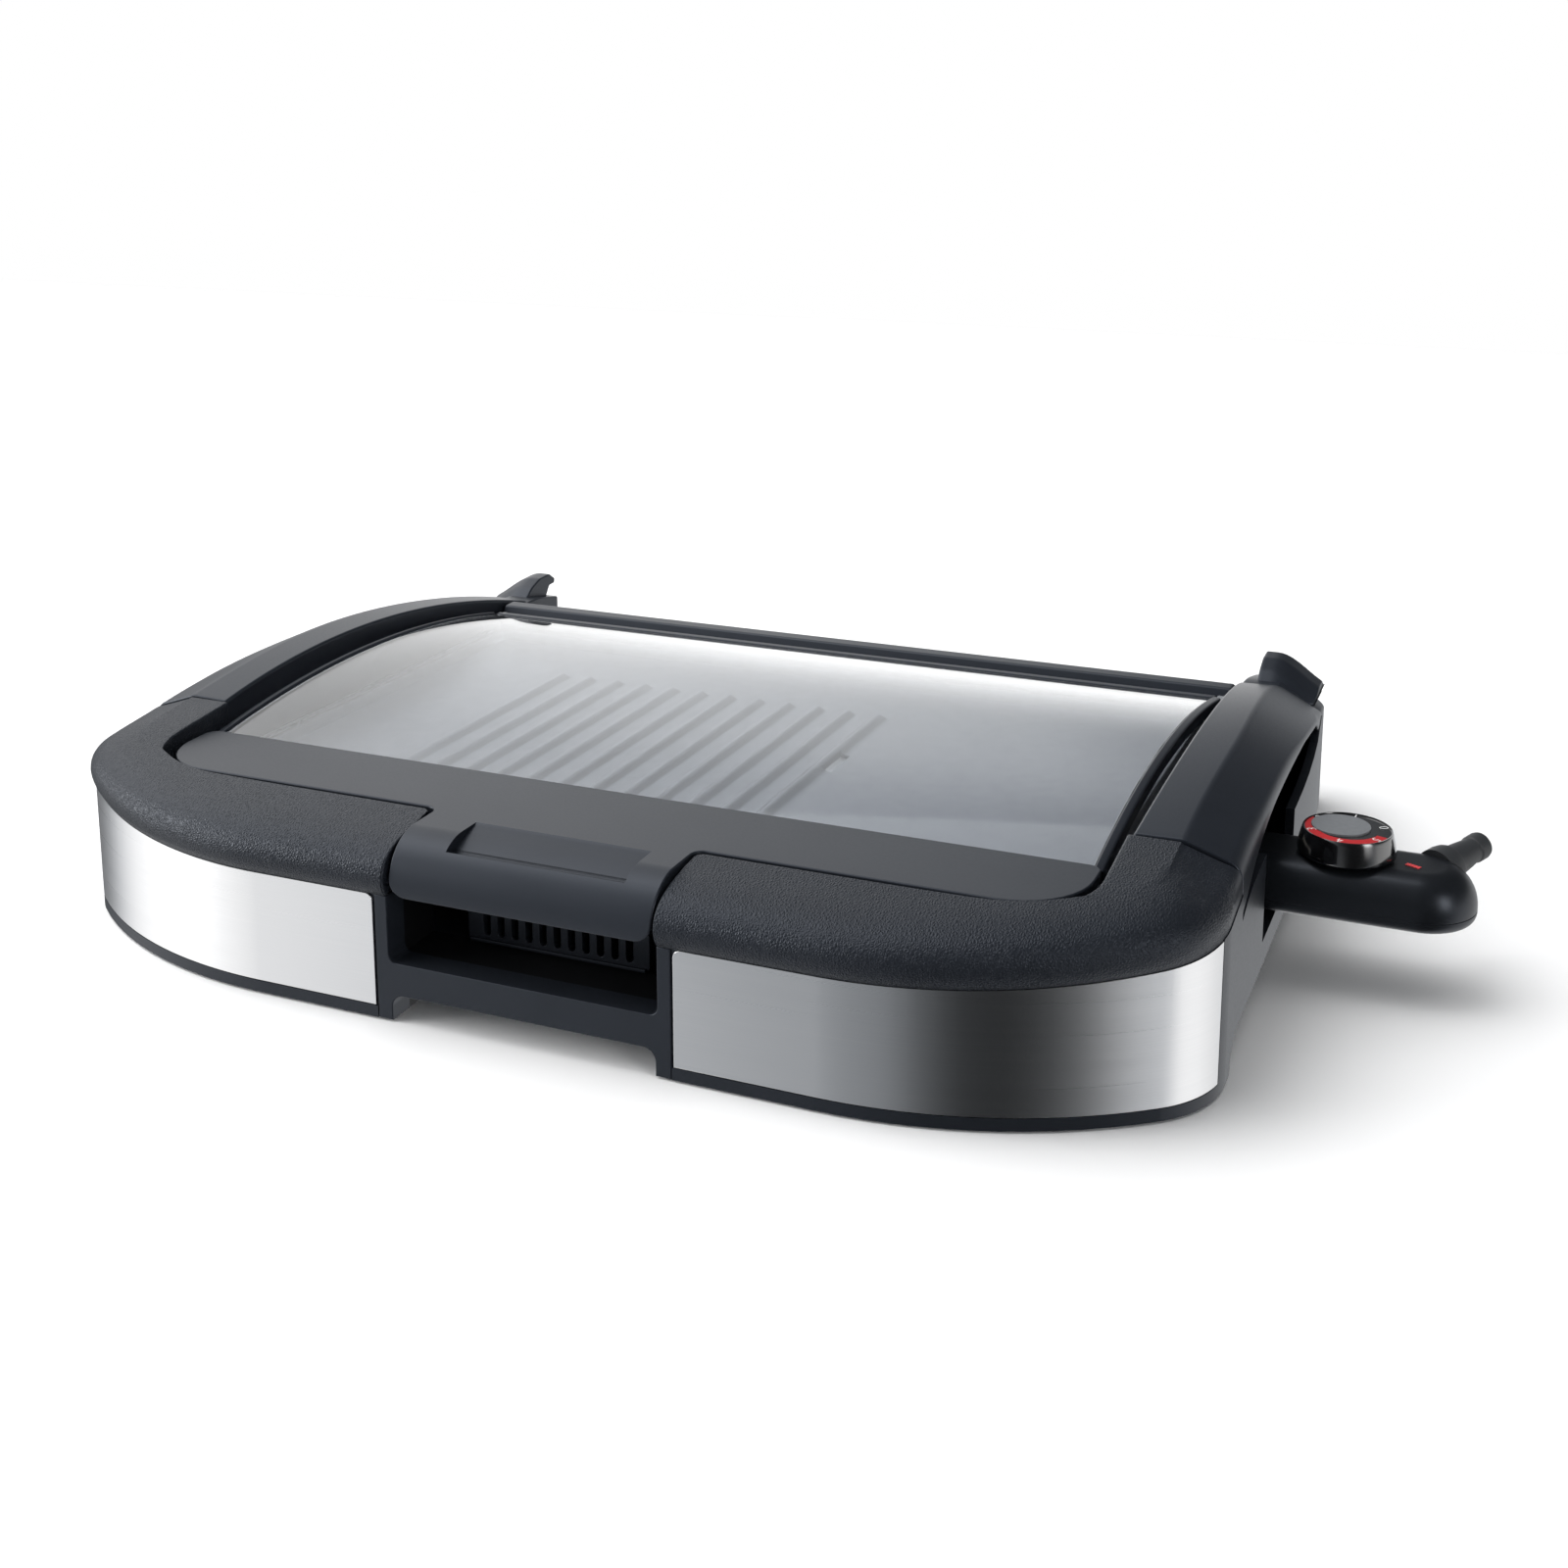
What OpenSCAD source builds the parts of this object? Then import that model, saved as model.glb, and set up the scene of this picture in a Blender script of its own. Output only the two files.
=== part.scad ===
// Electric table griddle with an arched glass lid, corner trims of brushed steel and a plug-in
// thermostat controller. Millimetres, +Z up. The origin is the centre of the footprint on the table.
// Inside the modules y is measured from the front face; from_front() moves the result to the origin.

/* [Body] */
// Depth of the footprint, from the front face to the back of the rear posts
body_d = 420; // [415:1:430]
// Half length of the straight front face
front_half = 125; // [115:1:135]
// Radius of the wide corner arc
corner_r = 192; // [185:1:200]
// Turn of the wide corner arc in degrees
corner_turn = 38.6; // [37:0.1:40]
// Radius of the tight shoulder arc that runs into the side
shoulder_r = 45; // [42:1:48]
// Radius of the faint bow of the rear half of each side
side_bow_r = 1285; // [1200:5:1400]
// Wall thickness of the plastic base shell
wall = 3; // [2.5:0.1:3.5]
// Thickness of the rubber foot pads under the legs
pad_t = 1; // [0.8:0.1:1.5]

/* [Front] */
// Half width of the drip tray opening in the front
opening_half = 60.5; // [58:0.5:61]
// Height of the lower edge of the drip tray opening
opening_z = 26; // [25:0.5:28]
// Height of the arch between the two front legs
arch_z = 12; // [10:0.5:14]
// Half distance between the two brushed trims
trim_gap_half = 67; // [66:0.5:69]
// Thickness of the brushed trims
trim_t = 0.8; // [0.6:0.1:1]
// Lower edge of the brushed trims
trim_z = 6.3; // [5.5:0.1:7]
// Height of the seam between trim and corner cover at the front face
seam_z = 54.5; // [53:0.5:55.5]
// Rise of that seam towards the back, per millimetre
seam_rise = 0.14; // [0.12:0.01:0.15]

/* [Handles] */
// Where the corner covers end and the side handles begin, from the front face
handle_y0 = 101.5; // [100:0.5:103]
// Where the side handles end at the rear posts, from the front face
handle_y1 = 373; // [371:0.5:375]
// Radius of the arch that handles and glass share
arch_r = 640; // [620:5:660]
// Top of the handle arch
handle_top = 95; // [93:0.5:97]
// Distance from the front face to the top of the arch
arch_y = 200; // [195:1:205]
// Slope of the outer half of the grip in degrees
grip_slope = 24; // [20:1:28]

/* [Lid] */
// Half width of the glass pane
glass_half = 207; // [206:0.5:208]
// Thickness of the glass pane
glass_t = 4; // [3.5:0.5:4.5]
// How far the glass lies below the handle arch
glass_drop = 7.6; // [7:0.1:8]
// Height of the hinge axis
hinge_z = 67; // [66.5:0.1:67.5]
// Distance of the hinge axis from the front face
hinge_y = 338; // [337.5:0.1:338.5]
// Radius of the hinge pins
pin_r = 2.5; // [2:0.1:3]
// Radial clearance of the pins in the lid's rear bar
pin_clearance = 0.06; // [0.03:0.01:0.09]
// Half width of the lid's front handle
lid_handle_half = 59; // [57:0.5:59.5]

/* [Grill plate] */
// Height of the cooking surface
plate_z = 60; // [59.5:0.1:60.5]
// Number of grill ribs
rib_count = 12; // [8:1:14]
// Distance between two grill ribs
rib_pitch = 16.4; // [15:0.1:16.5]

/* [Drip tray] */
// Width of the drip tray
tray_w = 84; // [80:1:88]
// Height of the drip tray's rim
tray_top = 43; // [41:0.5:43]
// Number of slots in the front of the tray
tray_slots = 11; // [7:2:11]

/* [Controller] */
// Distance of the controller's centre line from the front face
controller_y = 195; // [193:0.5:197]
// Half width of the controller
controller_half = 23; // [22:0.5:24]
// Underside of the controller
controller_z0 = 32; // [31:0.5:33]
// Top of the controller
controller_z1 = 55; // [54:0.5:55.5]
// Radius of the knob
knob_r = 20.4; // [19:0.1:21]
// Height of the knob
knob_h = 11; // [10:0.5:12]
// Radius of the knob's shaft
shaft_r = 3; // [2.5:0.1:3.5]
// Radial clearance of the shaft in the upper shell
shaft_clearance = 0.06; // [0.03:0.01:0.09]

/* [Hidden] */
$fn = 96;

wide_centre = [front_half, corner_r];
shoulder_centre = wide_centre + (corner_r - shoulder_r) * [sin(corner_turn), -cos(corner_turn)];
side_x = shoulder_centre[0] + shoulder_r;
bow_y = 240;
leg_z = pad_t;
trim_recess = trim_t + 0.2;
trim_end_y = 68;
arch_centre_z = handle_top - arch_r;
glass_r = arch_r - glass_drop;
floor_z = 15;
floor_t = 2.5;
side_gap = 1.5;
lid_half = 214.5;
lid_front = 37.5;
far = 500;

// ---------- helpers ----------

module from_front() {
    translate([0, -body_d / 2, 0]) children();
}

module both_sides() {
    children();
    mirror([1, 0, 0]) children();
}

// Footprint of the body, pulled in by inset
module footprint(inset = 0) {
    both_sides() {
        translate([-1, inset]) square([front_half + 1, shoulder_centre[1] + 1 - inset]);
        translate([-1, shoulder_centre[1]]) square([side_x - inset + 1, bow_y - shoulder_centre[1]]);
        intersection() {
            translate(wide_centre) circle(corner_r - inset);
            polygon([
                wide_centre,
                wide_centre + [0, -far],
                wide_centre + far * [sin(corner_turn), -cos(corner_turn)]
            ]);
        }
        intersection() {
            translate(shoulder_centre) circle(shoulder_r - inset);
            polygon([
                shoulder_centre,
                shoulder_centre + far * [sin(corner_turn), -cos(corner_turn)],
                shoulder_centre + [far, -far],
                shoulder_centre + [far, 0]
            ]);
        }
        intersection() {
            translate([side_x - side_bow_r, bow_y]) circle(side_bow_r - inset, $fn = 720);
            translate([-1, bow_y - 1]) square([far, body_d + 1 - bow_y - inset]);
        }
    }
}

module upright(z0, z1) {
    translate([0, 0, z0]) linear_extrude(z1 - z0) children();
}

// Everything above the plane that starts at height z at the front face and rises to the back
module above_seam(z) {
    translate([0, 0, z]) rotate([atan(seam_rise), 0, 0])
        translate([-far, -far / 2, 0]) cube([2 * far, 2 * far, far]);
}

// A side view drawn in [y, z], stretched across the body from x0 to x1
module across(x0, x1) {
    translate([x0, 0, 0]) rotate([90, 0, 90]) linear_extrude(x1 - x0) children();
}

// Plan of the lid, grown by grow and narrower at its ends: round front corners, a handle in the middle
module lid_plan(grow = 0, rear = hinge_y, narrower = 0) {
    round = 27 + grow + narrower;
    half = lid_half + grow - narrower;
    front = lid_front - grow;
    both_sides() {
        translate([-1, front]) square([half - round + 1, rear - front]);
        translate([half - round - 1, front + round]) square([round + 1, rear - front - round]);
        translate([half - round, front + round]) circle(round);
        translate([-1, -20]) square([lid_handle_half + grow + 1, 70]);
    }
}

module screw(r, length) {
    cylinder(h = length, r = r);
    difference() {
        translate([0, 0, -2]) cylinder(h = 2, r = 1.9 * r);
        translate([-0.3 * r, -1.2 * r, -2.1]) cube([0.6 * r, 2.4 * r, 1]);
        translate([-1.2 * r, -0.3 * r, -2.1]) cube([2.4 * r, 0.6 * r, 1]);
    }
}

// ---------- base ----------

side_wall_top = [
    [handle_y0, 57.6], [112, 61.2], [125, 63.6], [145, 65], [218, 65], [226, 56.5],
    [332, 56.5], [345, 58.5], [handle_y1, 57.8]
];

notch_y0 = 156;
notch_y1 = 235;
notch_z = 26;
tab_z = 52.6;
tab_t = 3.2;
handle_screw_x = 221;
handle_screw_y = [112, 360];
screw_spots = [[-150, 75], [150, 75], [-150, 325], [150, 325], [-225, 200], [225, 200]];

module base_shell() color([0.12, 0.12, 0.13]) from_front() difference() {
    union() {
        upright(leg_z, trim_z - 0.3) footprint(0);
        upright(leg_z, 80) footprint(trim_recess);
        intersection() {
            upright(leg_z, 80) footprint(0);
            translate([-far, trim_end_y, 0]) cube([2 * far, far, 100]);
        }
    }
    difference() {
        upright(floor_z + floor_t, 100) footprint(trim_recess + wall);
        // tabs that the handles are screwed to
        both_sides() for (y = handle_screw_y)
            translate([handle_screw_x - 4, y - 6, tab_z]) cube([60, 12, tab_t]);
    }
    both_sides() for (y = handle_screw_y)
        translate([handle_screw_x, y, tab_z - 1]) cylinder(h = 10, r = 1.9, $fn = 32);
    upright(-1, floor_z) footprint(trim_recess + wall);
    difference() {
        above_seam(seam_z);
        translate([-far, handle_y0, 0]) cube([2 * far, far, 200]);
    }
    across(-far, far) polygon(concat(side_wall_top, [[handle_y1, 120], [handle_y0, 120]]));
    translate([-far, handle_y1, -1]) cube([2 * far, far, 200]);
    translate([-trim_gap_half + 0.5, -10, -1]) cube([2 * trim_gap_half - 1, 30, 200]);
    // raised underside between the front legs and the rear posts
    across(-far, far) polygon([[86, -1], [88, 7], [92, 12], [98, floor_z - 0.5], [335, floor_z - 0.5],
        [345, 10], [350, -1]]);
    // notch that the controller plugs through
    translate([200, notch_y0, notch_z]) cube([100, notch_y1 - notch_y0, 100]);
    // service opening and screw holes in the floor
    translate([-120, 100, 0]) cube([240, 200, 30]);
    for (p = screw_spots) translate([p[0], p[1], 0]) cylinder(h = 30, r = 2.2, $fn = 32);
}

bezel_y = 0.4;
bezel_t = 11.6;
leg_depth = 19;
shelf_depth = 33;

// Bezel around the drip tray opening with the two middle legs and the shelf behind it
module front_frame() color([0.13, 0.13, 0.14]) from_front() difference() {
    union() {
        translate([-trim_gap_half + 0.7, bezel_y, leg_z]) cube([2 * trim_gap_half - 1.4, bezel_t, 50]);
        translate([-opening_half, bezel_y, opening_z - 3]) cube([2 * opening_half, shelf_depth, 3]);
        both_sides() {
            translate([opening_half, bezel_y, floor_z + floor_t])
                cube([3, shelf_depth, 51 - floor_z - floor_t]);
            translate([opening_half - 1, bezel_y, leg_z])
                cube([trim_gap_half - opening_half + 0.3, leg_depth, opening_z - leg_z]);
        }
    }
    // the opening itself, round in its lower corners
    upright_front(0, 40) rounded_window(opening_half, opening_z, 100, 3.5);
    // the arch between the legs
    upright_front(0, 40) rounded_window(opening_half - 1, -20, arch_z, 7);
    // pocket behind the bezel for the base floor
    translate([-80, bezel_y + leg_depth + 0.3, -1]) cube([160, 30, floor_z + floor_t + 1]);
}

// A front view drawn in [x, z], pushed back from the front face
module upright_front(y0, y1) {
    translate([0, y1, 0]) rotate([90, 0, 0]) linear_extrude(y1 - y0 + 5) children();
}

module rounded_window(half, z0, z1, r) {
    translate([-half + r, z0]) square([2 * (half - r), z1 - z0]);
    translate([-half, z0 + r]) square([2 * half, z1 - z0 - 2 * r]);
    for (x = [-half + r, half - r], z = [z0 + r, z1 - r]) translate([x, z]) circle(r, $fn = 48);
}

module bottom_plate() color([0.6, 0.6, 0.6]) from_front() difference() {
    translate([-170, 60, floor_z - 1.5]) cube([340, 282, 1.5]);
    for (x = [-60:20:60]) translate([x - 4, 150, 0]) cube([8, 100, 30]);
    for (p = screw_spots) translate([p[0], p[1], 0]) cylinder(h = 30, r = 2.2, $fn = 32);
}

// Brushed steel skin on one front corner
module trim_right() color([0.78, 0.78, 0.76]) from_front() difference() {
    upright(trim_z, 80) footprint(0);
    upright(trim_z - 1, 100) footprint(trim_t);
    above_seam(seam_z - 0.3);
    translate([-far, -far, 0]) cube([far + trim_gap_half + 0.3, 2 * far, 200]);
    translate([-far, trim_end_y - 0.5, 0]) cube([2 * far, far, 200]);
    // round upper inner corner
    translate([trim_gap_half, -5, seam_z - 3.3]) difference() {
        cube([3.3, 20, 10]);
        translate([3.3, -1, 0]) rotate([-90, 0, 0]) cylinder(h = 30, r = 3, $fn = 48);
    }
}

module trim_left() {
    mirror([1, 0, 0]) trim_right();
}

// Heights above the seam plane and pull-in of the rounded corner cover
cover_layers = [
    [0, 0.1], [2.5, -1.6], [6.5, -2.6], [10.5, -2.2], [14.5, 0.6], [17, 5], [18.5, 11], [19.3, 22]
];

module cover_dome(shrink) {
    hull() for (l = cover_layers)
        multmatrix([[1, 0, 0, 0], [0, 1, 0, 0], [0, 0.145, 1, 0]])
            translate([0, 0, seam_z + l[0] - (l[0] > 10 ? shrink : 0)])
                linear_extrude(0.1) footprint(l[1] + shrink, $fn = 96);
}

module corner_cover_right() color([0.16, 0.16, 0.17]) from_front() difference() {
    cover_dome(0);
    difference() {
        cover_dome(wall);
        // rim along the lid and end wall at the handle
        upright(0, 200) difference() {
            lid_plan(side_gap + 3, far);
            lid_plan(side_gap - 3, far);
        }
        translate([0, handle_y0 - wall, 0]) cube([far, wall, 200]);
    }
    translate([-far, -50, 0]) cube([far + opening_half, far, 300]);
    upright(0, 300) lid_plan(side_gap, far);
    translate([0, handle_y0 - 0.3, 0]) cube([far, far, 300]);
    translate([0, 0, -0.02]) difference() {
        translate([0, -50, 0]) cube([far, far, seam_z + 40]);
        above_seam(seam_z + 0.1);
    }
}

module corner_cover_left() {
    mirror([1, 0, 0]) corner_cover_right();
}

// ---------- handles and posts ----------

grip_under = [
    [handle_y0, 58], [112, 61.6], [121, 66], [135, 71.5], [156, 76.5], [185, 79.3], [235, 79.6],
    [283, 77], [318, 70], [338, 62.5], [345, 59], [handle_y1, 58.3]
];

module arch_solid(r) {
    translate([-far, arch_y, arch_centre_z]) rotate([0, 90, 0]) cylinder(h = 2 * far, r = r, $fn = 360);
}

inner_bow_r = 1894;
grip_inner_x = 220.5;
grip_ridge_x = 240;

module handle_right() color([0.15, 0.15, 0.16]) from_front() difference() {
    intersection() {
        union() {
            across(200, 300) polygon(concat(grip_under, [[handle_y1, 120], [handle_y0, 120]]));
            // inner skirt that closes the hand opening towards the plate
            translate([200, handle_y0, 56]) cube([24.5, handle_y1 - handle_y0, 60]);
        }
        arch_solid(arch_r);
        translate([grip_ridge_x, arch_y, handle_top]) rotate([0, grip_slope, 0])
            translate([-grip_ridge_x, -arch_y, -handle_top]) arch_solid(arch_r);
        upright(0, 200) footprint(0.4);
    }
    upright(0, 200) translate([grip_inner_x - inner_bow_r, arch_y]) circle(inner_bow_r, $fn = 720);
    cube([far, handle_y0, 300]);
    translate([0, handle_y1 - 0.3, 0]) cube([far, far, 300]);
    for (y = handle_screw_y) translate([handle_screw_x, y, 50]) cylinder(h = 14, r = 1.8, $fn = 32);
}

module handle_left() {
    mirror([1, 0, 0]) handle_right();
}

post_ear = [
    [381, 60], [383, 66.5], [390, 72.3], [399, 76], [411, 76.4], [419.7, 72.6], [419.7, 70],
    [413, 70], [409, 65.5], [408, 60]
];

ear_x0 = 219.5;
ear_x1 = 250;
ear_fall = 26;

module rear_post_right() color([0.15, 0.15, 0.16]) from_front() difference() {
    union() {
        intersection() {
            upright(leg_z, 120) intersection() {
                footprint(0.4);
                union() {
                    translate([212.8, handle_y1 + 0.1]) square([60, 20]);
                    translate([214, handle_y1 + 0.1]) square([20, 41]);
                    translate([232, handle_y1 + 21.5]) circle(19.6);
                    translate([212.8, handle_y1 + 0.1]) square([38.8, 21]);
                }
            }
            across(200, 300) polygon([[handle_y1, -5], [430, -5], [430, 62], [385, 66], [handle_y1, 69]]);
        }
        intersection() {
            across(ear_x0, ear_x1) polygon(post_ear);
            // the top of the ear falls outwards
            translate([ear_x0 + 9.5, 0, 76.4]) rotate([0, ear_fall, 0])
                translate([-100, 0, -200]) cube([300, 600, 200]);
        }
    }
    translate([217, handle_y1 + 5, leg_z - 1]) cube([27, 29, 50]);
}

module rear_post_left() {
    mirror([1, 0, 0]) rear_post_right();
}

// Rounded rail behind the lid with the sloping rear deck
module rear_rail() color([0.16, 0.16, 0.17]) from_front() difference() {
    across(-212.4, 212.4) polygon([
        [344.6, 58], [344.6, 68.5], [346.4, 73], [349, 74.4], [356, 74.4], [359.5, 73],
        [392, 62.5], [392, 60], [360, 68], [350, 68], [349, 58]
    ]);
    both_sides() translate([205.6, 330, 40]) cube([10, 22, 60]);
}

// Rear wall between the posts with vents
module rear_panel() color([0.12, 0.12, 0.13]) from_front() difference() {
    translate([-212.4, 389, floor_z]) cube([424.8, 3, 45]);
    for (x = [-170:20:170]) translate([x - 6, 380, 32]) cube([12, 20, 5]);
    for (x = [-170:20:170]) translate([x - 6, 380, 42]) cube([12, 20, 5]);
}

// ---------- heating ----------

module inner_frame() color([0.1, 0.1, 0.1]) from_front() difference() {
    union() {
        translate([-214.8, 58, 44]) cube([429.6, 285.5, 17.4]);
        for (x = [-200, 200], y = [90, 310])
            translate([x, y, floor_z + floor_t]) cylinder(h = 30, r = 5, $fn = 48);
    }
    translate([-209, 64, 40]) cube([418, 268, 30]);
    // window for the terminals and the probe
    translate([200, 170, 30]) cube([30, 50, 26]);
    translate([-far, 331, 57]) cube([2 * far, 20, 20]);
    for (x = [-200, 200], y = [90, 310]) translate([x, y, 0]) cylinder(h = 30, r = 1.4, $fn = 32);
}

module heat_pan() color([0.75, 0.76, 0.77]) from_front() difference() {
    union() {
        translate([-208, 65, 44.2]) cube([416, 265, 17.4]);
        translate([-212, 60, 61.5]) cube([424, 269.5, 1]);
    }
    translate([-207, 66, 45.2]) cube([414, 263, 30]);
    // grease outlet over the drip tray
    translate([30, 165, 40]) cube([30, 60, 10]);
    translate([200, 172, 45.2]) cube([30, 46, 11]);
}

plate_half = 203;
plate_y0 = 74;
plate_y1 = 326;
slot_x = 53.5;
slot_y = 186;
rib_len = 186;
rib_r = 1.6;

module grill_plate() color([0.2, 0.2, 0.21]) from_front() difference() {
    union() {
        translate([-plate_half, plate_y0, plate_z - 4]) cube([2 * plate_half, plate_y1 - plate_y0, 4]);
        for (i = [0:rib_count - 1]) translate([slot_x - 2 - i * rib_pitch, plate_y0 + 12, plate_z]) {
            translate([-2, 0, -0.5]) cube([4, rib_len, 2]);
            translate([0, 0, 1.3]) rotate([-90, 0, 0]) cylinder(h = rib_len, r = rib_r, $fn = 32);
        }
        difference() {
            translate([-plate_half, plate_y0, plate_z - 1]) cube([2 * plate_half, plate_y1 - plate_y0, 6]);
            translate([-plate_half + 4, plate_y0 + 4, plate_z - 2])
                cube([2 * plate_half - 8, plate_y1 - plate_y0 - 8, 10]);
        }
    }
    translate([slot_x, slot_y, 40]) cube([5, 24, 40]);
}

module plate_feet() color([0.7, 0.7, 0.7]) from_front()
    for (x = [-185, 185], y = [85, 315])
        translate([x, y, 45.2]) cylinder(h = plate_z - 4 - 45.2, r = 5, $fn = 32);

element_z = 51.6;
element_r = 3.4;
pin_z = 47;
probe_z = 48.4;
probe_r = 2.9;
pin_y = 12;
contact_r = 2.2;

// Tubular element: two long runs round the plate, joined by bends, both ends at the right
module heating_element() color([0.45, 0.43, 0.4]) from_front() {
    for (side = [0, 1]) translate([0, side * 2 * controller_y, 0]) mirror([0, side, 0]) {
        tube_x(-150, 160, controller_y - 90);
        tube_bend(160, controller_y - 75, 15, -90, 0);
        tube_y(175, controller_y - 75, controller_y - 27);
        tube_bend(190, controller_y - 27, 15, 90, 180);
        tube_x(189.5, 219, controller_y - 12);
    }
    tube_bend(-150, controller_y - 75, 15, 180, 270);
    tube_bend(-150, controller_y + 75, 15, 90, 180);
    tube_y(-165, controller_y - 75, controller_y + 75);
}

module tube_x(x0, x1, y) {
    translate([x0, y, element_z]) rotate([0, 90, 0]) cylinder(h = x1 - x0, r = element_r, $fn = 32);
}

module tube_y(x, y0, y1) {
    translate([x, y0, element_z]) rotate([-90, 0, 0]) cylinder(h = y1 - y0, r = element_r, $fn = 32);
}

module tube_bend(x, y, r, a0, a1) {
    translate([x, y, element_z]) rotate([0, 0, a0]) rotate_extrude(angle = a1 - a0)
        translate([r, 0]) circle(element_r, $fn = 32);
}

module element_clamps() color([0.7, 0.7, 0.7]) from_front()
    for (x = [-100, 0, 100], y = [controller_y - 90, controller_y + 90])
        translate([x, y, 0]) difference() {
            translate([-6, -8, 47.2]) cube([12, 16, 8.7]);
            translate([-10, 0, element_z]) rotate([0, 90, 0]) cylinder(h = 20, r = element_r, $fn = 32);
        }

// Ceramic block that carries the two contact pins
module terminal_block() color([0.85, 0.83, 0.78]) from_front() difference() {
    translate([219.2, controller_y - 20, 41]) cube([6, 40, 14.5]);
    for (s = [-1, 1]) translate([210, controller_y + pin_y * s, pin_z])
        rotate([0, 90, 0]) cylinder(h = 30, r = contact_r, $fn = 48);
    translate([210, controller_y, probe_z]) rotate([0, 90, 0]) cylinder(h = 30, r = probe_r + 0.3, $fn = 48);
}

module contact_pins() color([0.8, 0.8, 0.78]) from_front()
    for (s = [-1, 1]) translate([219.2, controller_y + pin_y * s, pin_z])
        rotate([0, 90, 0]) cylinder(h = 24, r = contact_r, $fn = 48);

// ---------- hinge, tray runners, feet, screws ----------

module hinge_brackets() color([0.55, 0.55, 0.55]) from_front() both_sides() difference() {
    across(207.2, 211.6) polygon([
        [333, 61.6], [333, 69], [335, 72], [341, 72], [351, 68], [351, 44], [345, 44], [345, 61.6]
    ]);
    translate([200, hinge_y, hinge_z]) rotate([0, 90, 0]) cylinder(h = 20, r = pin_r, $fn = 48);
}

module hinge_pins() color([0.8, 0.8, 0.8]) from_front() both_sides()
    translate([195.5, hinge_y, hinge_z]) rotate([0, 90, 0]) cylinder(h = 16, r = pin_r, $fn = 48);

module tray_runners() color([0.2, 0.2, 0.2]) from_front() both_sides() difference() {
    translate([tray_w / 2 - 10, 40, floor_z + floor_t]) cube([14, 270, 16]);
    translate([0, 30, opening_z + 2.6]) cube([tray_w / 2 + 0.4, 300, 20]);
    translate([0, 99, 0]) cube([44, 202, floor_z + floor_t + 1.5]);
}

module foot_pads() color([0.08, 0.08, 0.08]) from_front() both_sides() {
    translate([(trim_gap_half + opening_half) / 2 - 0.3, 6, 0]) cylinder(h = leg_z, r = 2, $fn = 32);
    translate([side_x - 2.2, 76, 0]) cylinder(h = leg_z, r = 1.6, $fn = 32);
    translate([248, 385, 0]) cylinder(h = leg_z, r = 2.5, $fn = 32);
}

module base_screws() color([0.7, 0.7, 0.72]) from_front()
    for (p = screw_spots) translate([p[0], p[1], floor_z - 1.5]) screw(2.2, 8);

module handle_screws() color([0.7, 0.7, 0.72]) from_front() both_sides()
    for (y = handle_screw_y) translate([handle_screw_x, y, tab_z]) screw(1.8, 10);

// ---------- drip tray ----------

tray_y0 = 31;
tray_len = 255;
tray_z = opening_z + 3;
tray_wall = 2;
tray_slot_pitch = 6.6;
tray_slot_w = 3.2;

module drip_tray() color([0.14, 0.14, 0.15]) from_front() difference() {
    translate([-tray_w / 2, tray_y0, tray_z]) cube([tray_w, tray_len, tray_top - tray_z]);
    translate([-tray_w / 2 + tray_wall, tray_y0 + 10, tray_z + tray_wall])
        cube([tray_w - 2 * tray_wall, tray_len - 10 - tray_wall, 30]);
    for (i = [0:tray_slots - 1])
        translate([(i - (tray_slots - 1) / 2) * tray_slot_pitch - tray_slot_w / 2, tray_y0 - 1, tray_z + 3])
            cube([tray_slot_w, 5, 30]);
}

// ---------- lid ----------

strip_z = 78.2;
strip_y1 = 83;
nose_y = 19.5;
nose_z = 58.2;
nose_r = 20.5;

module lid_front_strip() color([0.16, 0.16, 0.17]) from_front() difference() {
    intersection() {
        upright(0, 200) lid_plan(0, strip_y1, 3);
        union() {
            // the strip itself
            across(-220, 220) polygon([[30, 71], [30, strip_z], [strip_y1, strip_z + 0.8], [strip_y1, 70]]);
            // bullnose of the handle
            across(-lid_handle_half, lid_handle_half) {
                translate([nose_y, nose_z]) circle(nose_r);
                translate([nose_y, 54]) square([25, strip_z - 54]);
                translate([10, 54]) square([12, 8]);
            }
        }
        translate([-far, -10, 54]) cube([2 * far, 200, 60]);
    }
    // hollow under the handle
    across(-lid_handle_half + 3, lid_handle_half - 3) {
        translate([20, 56]) circle(15.5);
        translate([20, 40]) square([60, 31]);
    }
    // finger pocket, deeper towards the front
    across(-41, 41) polygon([[9, 90], [9, 72.4], [13, 72.6], [24, 75.6], [35, strip_z], [35, 90]]);
    // seat of the glass
    intersection() {
        arch_solid(glass_r + 0.05);
        translate([-glass_half - 0.2, 75, 60]) cube([2 * glass_half + 0.4, 20, 30]);
    }
}

module lid_glass() color([0.75, 0.8, 0.82, 0.35]) from_front() intersection() {
    difference() {
        arch_solid(glass_r);
        arch_solid(glass_r - glass_t);
    }
    translate([-glass_half, 75.2, 60]) cube([2 * glass_half, 330.8 - 75.2, 40]);
}

module lid_rear_bar() color([0.15, 0.15, 0.16]) from_front() difference() {
    union() {
        translate([-206.6, hinge_y, hinge_z]) rotate([0, 90, 0]) cylinder(h = 413.2, r = 5.6, $fn = 96);
        across(-206.6, 206.6) polygon([[328, 66], [328, 74.6], [331, 74.2], [338, 72.6], [338, 64]]);
    }
    intersection() {
        arch_solid(glass_r + 0.05);
        translate([-300, 320, 60]) cube([600, 11, 40]);
    }
    both_sides() translate([194, hinge_y, hinge_z]) rotate([0, 90, 0])
        cylinder(h = 20, r = pin_r + pin_clearance, $fn = 48);
}

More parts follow.
